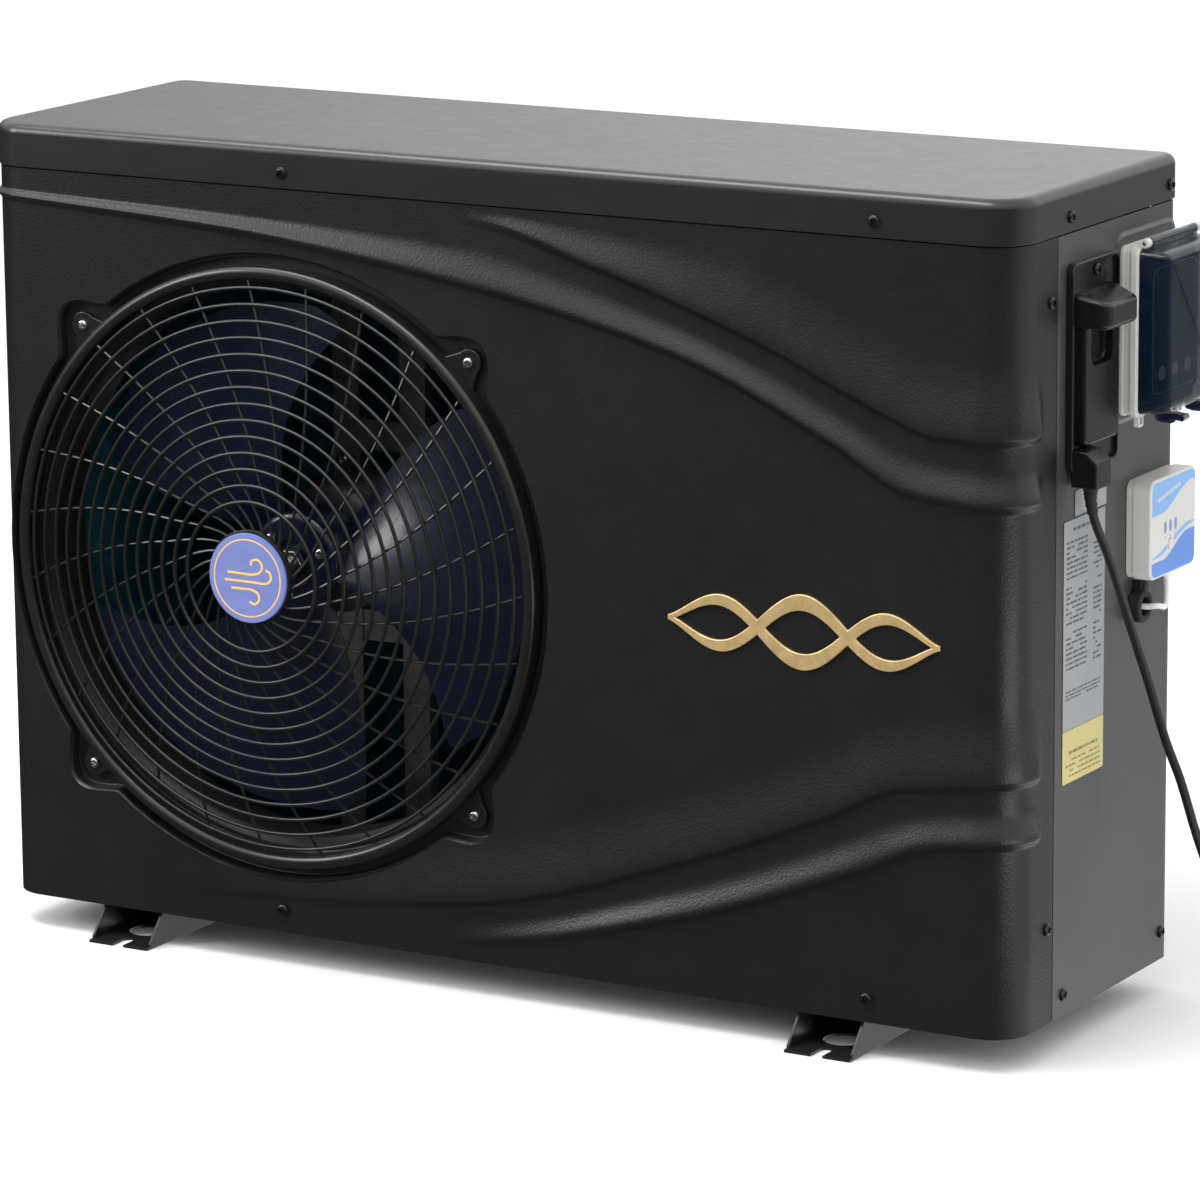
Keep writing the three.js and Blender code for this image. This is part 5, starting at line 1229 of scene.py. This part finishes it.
# ---- labels and emblem
def dashes(rows, y0, y1, high, x, density, seed):
    """Rows of short bars that stand for print, as thin plates."""
    draw = random.Random(seed)
    bars = []
    for z in rows:
        y = y0
        while y < y1 - 2:
            length = min(draw.uniform(3, 13), y1 - y)
            if draw.random() < density:
                bars.append(slab([(y, z), (y + length, z), (y + length, z + high), (y, z + high)], "x",
                                 x - 0.02,
                                 x + 0.05, 0.005, 1))
            y += length + 1.6
    return merged(*bars)


def labels():
    """Paper labels with plain bars in place of print."""
    for node, look in (("rating_label", "label_grey"), ("yellow_label", "label_yellow")):
        lo, hi = span(node)
        build(f"{node}_paper", slab(rounded(lo.y, hi.y, lo.z, hi.z, 1.2, 4), "x", SIDE, hi.x, 0.1, 1), look,
              stands_for=[node])
    lo, hi = span("rating_label")
    x = hi.x
    rows = [hi.z - 20 - 4.4 * k for k in range(27) if k % 9 != 8]
    foot = [lo.z + 33 - 3.2 * k for k in range(3)]
    bars = merged(dashes([hi.z - 10], lo.y + 18, hi.y - 18, 2.6, x, 1.0, 3),
                  dashes(rows, lo.y + 5, lo.y + 46, 1.7, x, 0.85, 4),
                  dashes(rows, lo.y + 58, hi.y - 6, 1.7, x, 0.8, 5),
                  dashes(foot, lo.y + 5, hi.y - 8, 1.3, x, 0.9, 6))
    build("rating_label_bars", bars, "print_grey")
    lo, hi = span("yellow_label")
    rows = [lo.z + 5 + 4.6 * k for k in range(4)]
    bars = merged(dashes([lo.z + 25], lo.y + 12, hi.y - 12, 2.6, x, 1.0, 7),
                  dashes(rows, lo.y + 6, hi.y - 6, 1.5, x, 0.9, 8))
    build("yellow_label_bars", bars, "print_brown")
    paper = slab(rounded(-44, 17, 468, 490, 1, 4), "x", SIDE, SIDE + 0.4, 0.1, 1)
    build("small_label_paper", paper, "label_grey")
    bars = dashes([471 + 3.4 * k for k in range(5)], -30, -4, 1.5, x, 0.8, 9)
    build("small_label_bars", bars, "print_grey_light")


def emblem():
    """Plain raised ornament: two crossing waves with a domed face."""
    lo, hi = span("front_emblem")
    middle = (lo.z + hi.z) / 2
    height, steps = 26, 110

    def ribbon(sign):
        upper, lower = [], []
        for i in range(steps + 1):
            share = i / steps
            z = middle + sign * height * sin(3 * pi * share) * sin(pi * share) ** 0.4
            half = 2.2 + 5 * sin(pi * share)
            x = lo.x + share * (hi.x - lo.x)
            upper.append((x, z + half))
            lower.append((x, z - half))
        return slab(lower + upper[::-1], "y", lo.y, hi.y, 1.1, 4)

    made = build("front_emblem_waves", ribbon(1), "gold", stands_for=["front_emblem"])
    carve(made, (JOIN, ribbon(-1)), sharp=50)


labels()
emblem()


# ---- fan, motor and shroud
IMPELLER_BACK = span("fan_impeller")[1].y
nut_lo, nut_hi = span("fan_nut")
shaft_lo, shaft_hi = span("motor_shaft")
motor_lo, motor_hi = span("fan_motor")
BLADE_FRONT = nut_hi.y - 10 + GAP
BLADE_RADIUS = OPENING - 26
HUB_RADIUS = 46
BLADES, BLADE_DROP, BLADE_THICK = 3, 46, 3
SHAFT_HOLE = 6.3


def blade(start):
    """One swept blade with thin rounded edges and rounded corners at its tip."""
    sections = []
    rows, columns = 26, 22
    for i in range(rows + 1):
        share = i / rows
        radius = HUB_RADIUS - 6 + share * (BLADE_RADIUS - HUB_RADIUS + 6)
        lead = radians(-18 - 30 * share ** 1.5)
        chord = radians(62 + 28 * share)
        drop = BLADE_DROP * (0.95 - 0.3 * share)
        round_off = max(0.0, (share - 0.86) / 0.14)
        trim = 0.13 * (1 - sqrt(1 - min(1.0, round_off) ** 2)) if round_off else 0.0
        front, back = [], []
        for k in range(columns + 1):
            along = k / columns
            along = trim + along * (1 - 1.4 * trim)
            turn = start + lead + chord * along
            y = BLADE_FRONT + 12 + drop * along
            camber = 2.2 * sin(pi * along)
            edge = min(1.0, min(k, columns - k) / 2.5 + 0.22)
            thick = BLADE_THICK * edge * (1 - 0.35 * share)
            front.append(around(radius, turn, y + BLADE_THICK / 2 - thick / 2 - camber))
            back.append(around(radius, turn, y + BLADE_THICK / 2 + thick / 2 - camber))
        sections.append(front + back[::-1])
    return loft(sections)


def fan():
    front, back = BLADE_FRONT + 10, IMPELLER_BACK
    hub = [(SHAFT_HOLE, front + 3), (20, front + 3), (21, front + 0.6), (22, front), (39, front),
           (43, front + 1),
           (45.4, front + 3.6), (HUB_RADIUS, front + 7), (HUB_RADIUS, back), (HUB_RADIUS - 3, back),
           (HUB_RADIUS - 3, front + 6), (SHAFT_HOLE + 8, front + 6), (SHAFT_HOLE + 8, back),
           (SHAFT_HOLE, back)]
    parts = [ring_of(hub, "y", FAN, 90)]
    parts += [blade(2 * pi * b / BLADES) for b in range(BLADES)]
    for k in range(6):
        turn = pi / 3 * k + 0.3
        rib = slab(rounded(SHAFT_HOLE + 6, HUB_RADIUS - 2, -1.2, 1.2, 0.5, 2), "y", front + 5, back - 1, 0.3,
                   1)
        parts.append(moved(rib, Matrix.Translation(FAN) @ Matrix.Rotation(turn, 4, "Y")))
    build("fan_blades", merged(*parts), "blade_navy", "fan", ["fan_impeller"], sharp=38)
    nut = slab(circle(FAN_X, FAN_Z, 14, 6), "y", nut_lo.y, nut_hi.y, 1.3, 3)
    made = build("fan_nut_hex", nut, "steel", "fan", ["fan_nut"], sharp=30)
    carve(made, (CUT, hole("y", FAN, SHAFT_HOLE, nut_lo.y - 3, nut_hi.y + 3)), sharp=30)
    shaft = lathe([(4.6, shaft_lo.y), (6, shaft_lo.y + 1.4), (6, shaft_hi.y - 1), (5, shaft_hi.y)], "y",
                  FAN, 40)
    build("motor_shaft_rod", shaft, "steel", "fan", ["motor_shaft"])
    for k, turn in enumerate((0.35, 2.45, 4.54)):
        screw(f"hub_bolt_{k + 1}", silver_screw, around(31, turn, front - 0.05), "-y", 40 * k, "fan")


def motor():
    """Motor can with cooling ribs, its front boss and four feet on the bracket."""
    radius, front, back = 60, motor_lo.y + 4, motor_hi.y
    can = [(SHAFT_HOLE, front - 4), (18.6, front - 4), (20, front - 2.8), (20, front), (48, front),
           (55, front + 2),
           (59, front + 6), (radius, front + 10)]
    for k in range(7):
        y = front + 16 + 7 * k
        can += [(radius, y), (radius - 2.2, y + 1), (radius - 2.2, y + 2.4), (radius, y + 3.4)]
    can += [(radius, back - 8), (57, back - 2), (50, back), (SHAFT_HOLE, back)]
    parts = [ring_of(can, "y", FAN, 72)]
    for k, (side, end) in enumerate(((-1, -1), (1, -1), (-1, 1), (1, 1))):
        x, z = FAN_X + side * 36, FAN_Z + end * (radius - 4)
        foot = rounded(x - 10, x + 10, *sorted((z - end * 10, z + end * 16)), 4)
        parts.append(slab(foot, "y", back - 5, back, 0.6, 2))
        screw(f"motor_bolt_{k + 1}", silver_screw, (x, back - 5.05, z + end * 10), "-y", 25 * k)
    build("fan_motor_can", merged(*parts), "motor_grey", stands_for=["fan_motor"])


def shroud():
    """Inlet ring behind the grille, with a rolled front lip."""
    front, back = shroud_lo.y, shroud_hi.y
    bell = [(OPENING - 8 + 9 * (1 - cos(t)), front + 14 - 11 * sin(t)) for t in quarter(8)]
    profile = [(OPENING - 11, back), (OPENING - 11, front + 12), (OPENING - 9.4, front + 6),
               (OPENING - 3, front),
               (OPENING + 14, front), (OPENING + 14, front + 2.4), *bell[::-1], (OPENING - 8, back)]
    build("fan_shroud_ring", ring_of(profile, "y", FAN, 160), "textured_black",
          stands_for=["fan_shroud"])


fan()
motor()
shroud()


# ---- finned coil
FIN_PITCH, FIN_THICK = 2.4, 0.32
TUBE_PITCH, TUBE_RADIUS = 25.4, 4.2
COIL_DEPTH = 28


def thin_plate(x0, x1, y0, y1, z0, z1):
    points = [(x, y, z) for x in (x0, x1) for y in (y0, y1) for z in (z0, z1)]
    faces = [(0, 1, 3, 2), (4, 6, 7, 5), (0, 4, 5, 1), (2, 3, 7, 6), (0, 2, 6, 4), (1, 5, 7, 3)]
    return points, faces


def finned_coil():
    """L-shaped coil: blue coated fins along the back and the left side, with two rows of copper tube."""
    lo, hi = span("evaporator_coil")
    back_y = hi.y - COIL_DEPTH
    along_back = [lo.x + i * FIN_PITCH for i in range(int((hi.x - lo.x) / FIN_PITCH) + 1)]
    along_left = [lo.y + i * FIN_PITCH for i in range(int((back_y - 1 - lo.y) / FIN_PITCH) + 1)]
    fins = [thin_plate(x, x + FIN_THICK, back_y, hi.y, lo.z, hi.z) for x in along_back]
    fins += [thin_plate(lo.x, lo.x + COIL_DEPTH, y, y + FIN_THICK, lo.z, hi.z) for y in along_left]
    build("coil_fins", merged(*fins), "teal_fins", stands_for=["evaporator_coil"], sharp=20)
    tubes = []
    rows = int((hi.z - lo.z - 20) / TUBE_PITCH)
    for k in range(rows):
        z = lo.z + 16 + TUBE_PITCH * k
        for depth in (8, 20):
            bend = 30 - depth
            line = [(lo.x + depth, lo.y + 3, z), (lo.x + depth, back_y - 8, z)]
            line += [(lo.x + depth + bend - bend * cos(t), back_y - 8 + (depth + 8) * sin(t), z)
                     for t in quarter(5)[1:]]
            line.append((hi.x - 1, back_y + depth, z))
            tubes.append(sweep(line, circle(0, 0, TUBE_RADIUS, 8), up=(0, 0, 1)))
    build("coil_tubes", merged(*tubes), "copper")


finned_coil()


# ---- machine side behind the panels
def pressure_vessels():
    """Compressor can with its welded seam and feet, and a small box on its front."""
    lo, hi = span("compressor")
    mounts = [span(f"compressor_mount_{k}") for k in (1, 2, 3)]
    centre = (sum((a.x + b.x) / 2 for a, b in mounts) / 3, sum((a.y + b.y) / 2 for a, b in mounts) / 3, 0)
    base, top, radius = lo.z + 4, hi.z, 58
    profile = [(20, base), (50, base), (56, base + 4), (radius, base + 12), (radius, base + 52),
               (radius + 1.6, base + 54), (radius + 1.6, base + 58), (radius, base + 60), (radius, top - 46)]
    profile += [(radius * cos(t) ** 0.75, top - 46 + 44 * sin(t)) for t in quarter(10)[1:9]]
    profile += [(12, top - 1), (7, top)]
    parts = [lathe(profile, "z", centre, 72)]
    for a, b in mounts:
        x, y = (a.x + b.x) / 2, (a.y + b.y) / 2
        turn = atan2(y - centre[1], x - centre[0])
        arm = slab(rounded(-62, 16, -15, 15, 12), "z", base - 3.6, base - 0.2, 0.4, 1)
        parts.append(moved(arm, Matrix.Translation((x, y, 0)) @ Matrix.Rotation(turn, 4, "Z")))
    box = slab(rounded(centre[0] - 16, centre[0] + 16, base + 118, base + 160, 4), "y", lo.y, lo.y + 22, 1.5,
               3)
    build("compressor_can", merged(*parts, box), "compressor_black", stands_for=["compressor"], sharp=40)


pressure_vessels()


# ---- dressing of the CAD nodes that stay
def dress():
    """Gives every CAD node that is still shown its finish, and softens its edges."""
    slots = {part["node"]: part["material_slot"] for part in frame["record"]["subparts"]}
    for node, made in frame["nodes"].items():
        finish = LOOKS[slots[node]]
        for place_in_list in made.material_slots:
            place_in_list.material = finish
        if node not in hidden:
            soften(made, 0.5)
    # Large flat faces keep their own direction, so that light doesn't creep over them from rounded edges.
    for made in built:
        weighted = made.modifiers.new("flat_faces", "WEIGHTED_NORMAL")
        weighted.keep_sharp = True


# ---- floor and light
FLOOR_REACH = 30  # metres from here on
WALL_REACH, WALL_HEIGHT, WALL_FACETS = 28, 10, 64


def area(name, size, energy, where, towards):
    """A rectangular lamp at a point, facing another."""
    data = bpy.data.lights.new(name, "AREA")
    data.shape = "RECTANGLE"
    data.size, data.size_y = size
    data.energy = energy
    light = linked(name, data)
    light.location = where
    light.rotation_euler = (Vector(towards) - Vector(where)).to_track_quat("-Z", "Y").to_euler()


def staged(name, points, faces, **sockets):
    """A part of the studio, white, that no glossy surface reflects."""
    made = from_points(name, points, faces)
    white = bpy.data.materials.new(name + "_white")
    white.use_nodes = True
    for socket, value in sockets.items():
        white.node_tree.nodes["Principled BSDF"].inputs[socket.replace("_", " ")].default_value = value
    made.data.materials.append(white)
    made.visible_glossy = False
    return made


def studio():
    """Floor, far wall, room light and three lamps."""
    reach = FLOOR_REACH
    # Glossy surfaces reflect the room instead of the floor, so the black front keeps its depth.
    staged("floor", [(-reach, -reach, 0), (reach, -reach, 0), (reach, reach, 0), (-reach, reach, 0)],
           [(0, 1, 2, 3)],
           Base_Color=(0.9, 0.9, 0.9, 1), Roughness=0.9)
    backdrop()
    room()
    area("overhead", (2.4, 0.8), 42, (-0.5, -0.9, 2.6), (-0.1, 0, 0.4))
    area("right_low_box", (0.5, 0.25), 1.2, (1.15, -0.35, 0.14), (0.52, 0.05, 0.14))
    area("front_left_box", (0.9, 1.6), 50, (-2.9, -2.4, 1.9), (-0.4, 0, 0.4))
    bpy.context.scene.view_settings.view_transform = "Standard"


def backdrop():
    """A white wall far around the floor, seen directly but neither lighting nor reflected."""
    count = WALL_FACETS
    rim = circle(0, 0, WALL_REACH, count)
    faces = [(i, (i + 1) % count, (i + 1) % count + count, i + count) for i in range(count)]
    wall = staged("backdrop", [(x, y, z) for z in (0, WALL_HEIGHT) for x, y in rim], faces,
                  Emission_Color=(1, 1, 1, 1), Emission_Strength=1.0)
    wall.visible_diffuse = False
    wall.visible_transmission = False
    wall.visible_shadow = False


def room():
    """A white room: bright overhead, behind and near the floor behind, dark in front."""
    world = bpy.data.worlds.new("studio")
    bpy.context.scene.world = world
    world.use_nodes = True
    nodes, links = world.node_tree.nodes, world.node_tree.links
    way = nodes.new("ShaderNodeTexCoord").outputs["Generated"]

    def along(direction, start, end, low, high):
        """A level that grows smoothly from low to high as the view turns towards a direction."""
        dot = nodes.new("ShaderNodeVectorMath")
        dot.operation = "DOT_PRODUCT"
        dot.inputs[1].default_value = direction
        links.new(way, dot.inputs[0])
        level = nodes.new("ShaderNodeMapRange")
        level.interpolation_type = "SMOOTHSTEP"
        for socket, value in zip(("From Min", "From Max", "To Min", "To Max"), (start, end, low, high)):
            level.inputs[socket].default_value = value
        links.new(dot.outputs["Value"], level.inputs["Value"])
        return level.outputs["Result"]

    def blend(operation, first, second):
        made = nodes.new("ShaderNodeMath")
        made.operation = operation
        links.new(first, made.inputs[0])
        links.new(second, made.inputs[1])
        return made.outputs["Value"]

    overhead = along((0, 0, 1), -0.03, 0.6, 0.0, 1.25)
    behind = along((0.5, 0.86, 0), 0.2, 0.62, 0.06, 1.2)
    upward = along((0, 0, 1), -0.15, 0.12, 0.25, 1.0)
    near_floor = along((0, 0, 1), -0.16, -0.42, 0.22, 1.05)
    level = blend("MAXIMUM", overhead, blend("MULTIPLY", behind, blend("MAXIMUM", upward, near_floor)))
    nodes["Background"].inputs["Color"].default_value = (1, 1, 1, 1)
    links.new(level, nodes["Background"].inputs["Strength"])


dress()
studio()
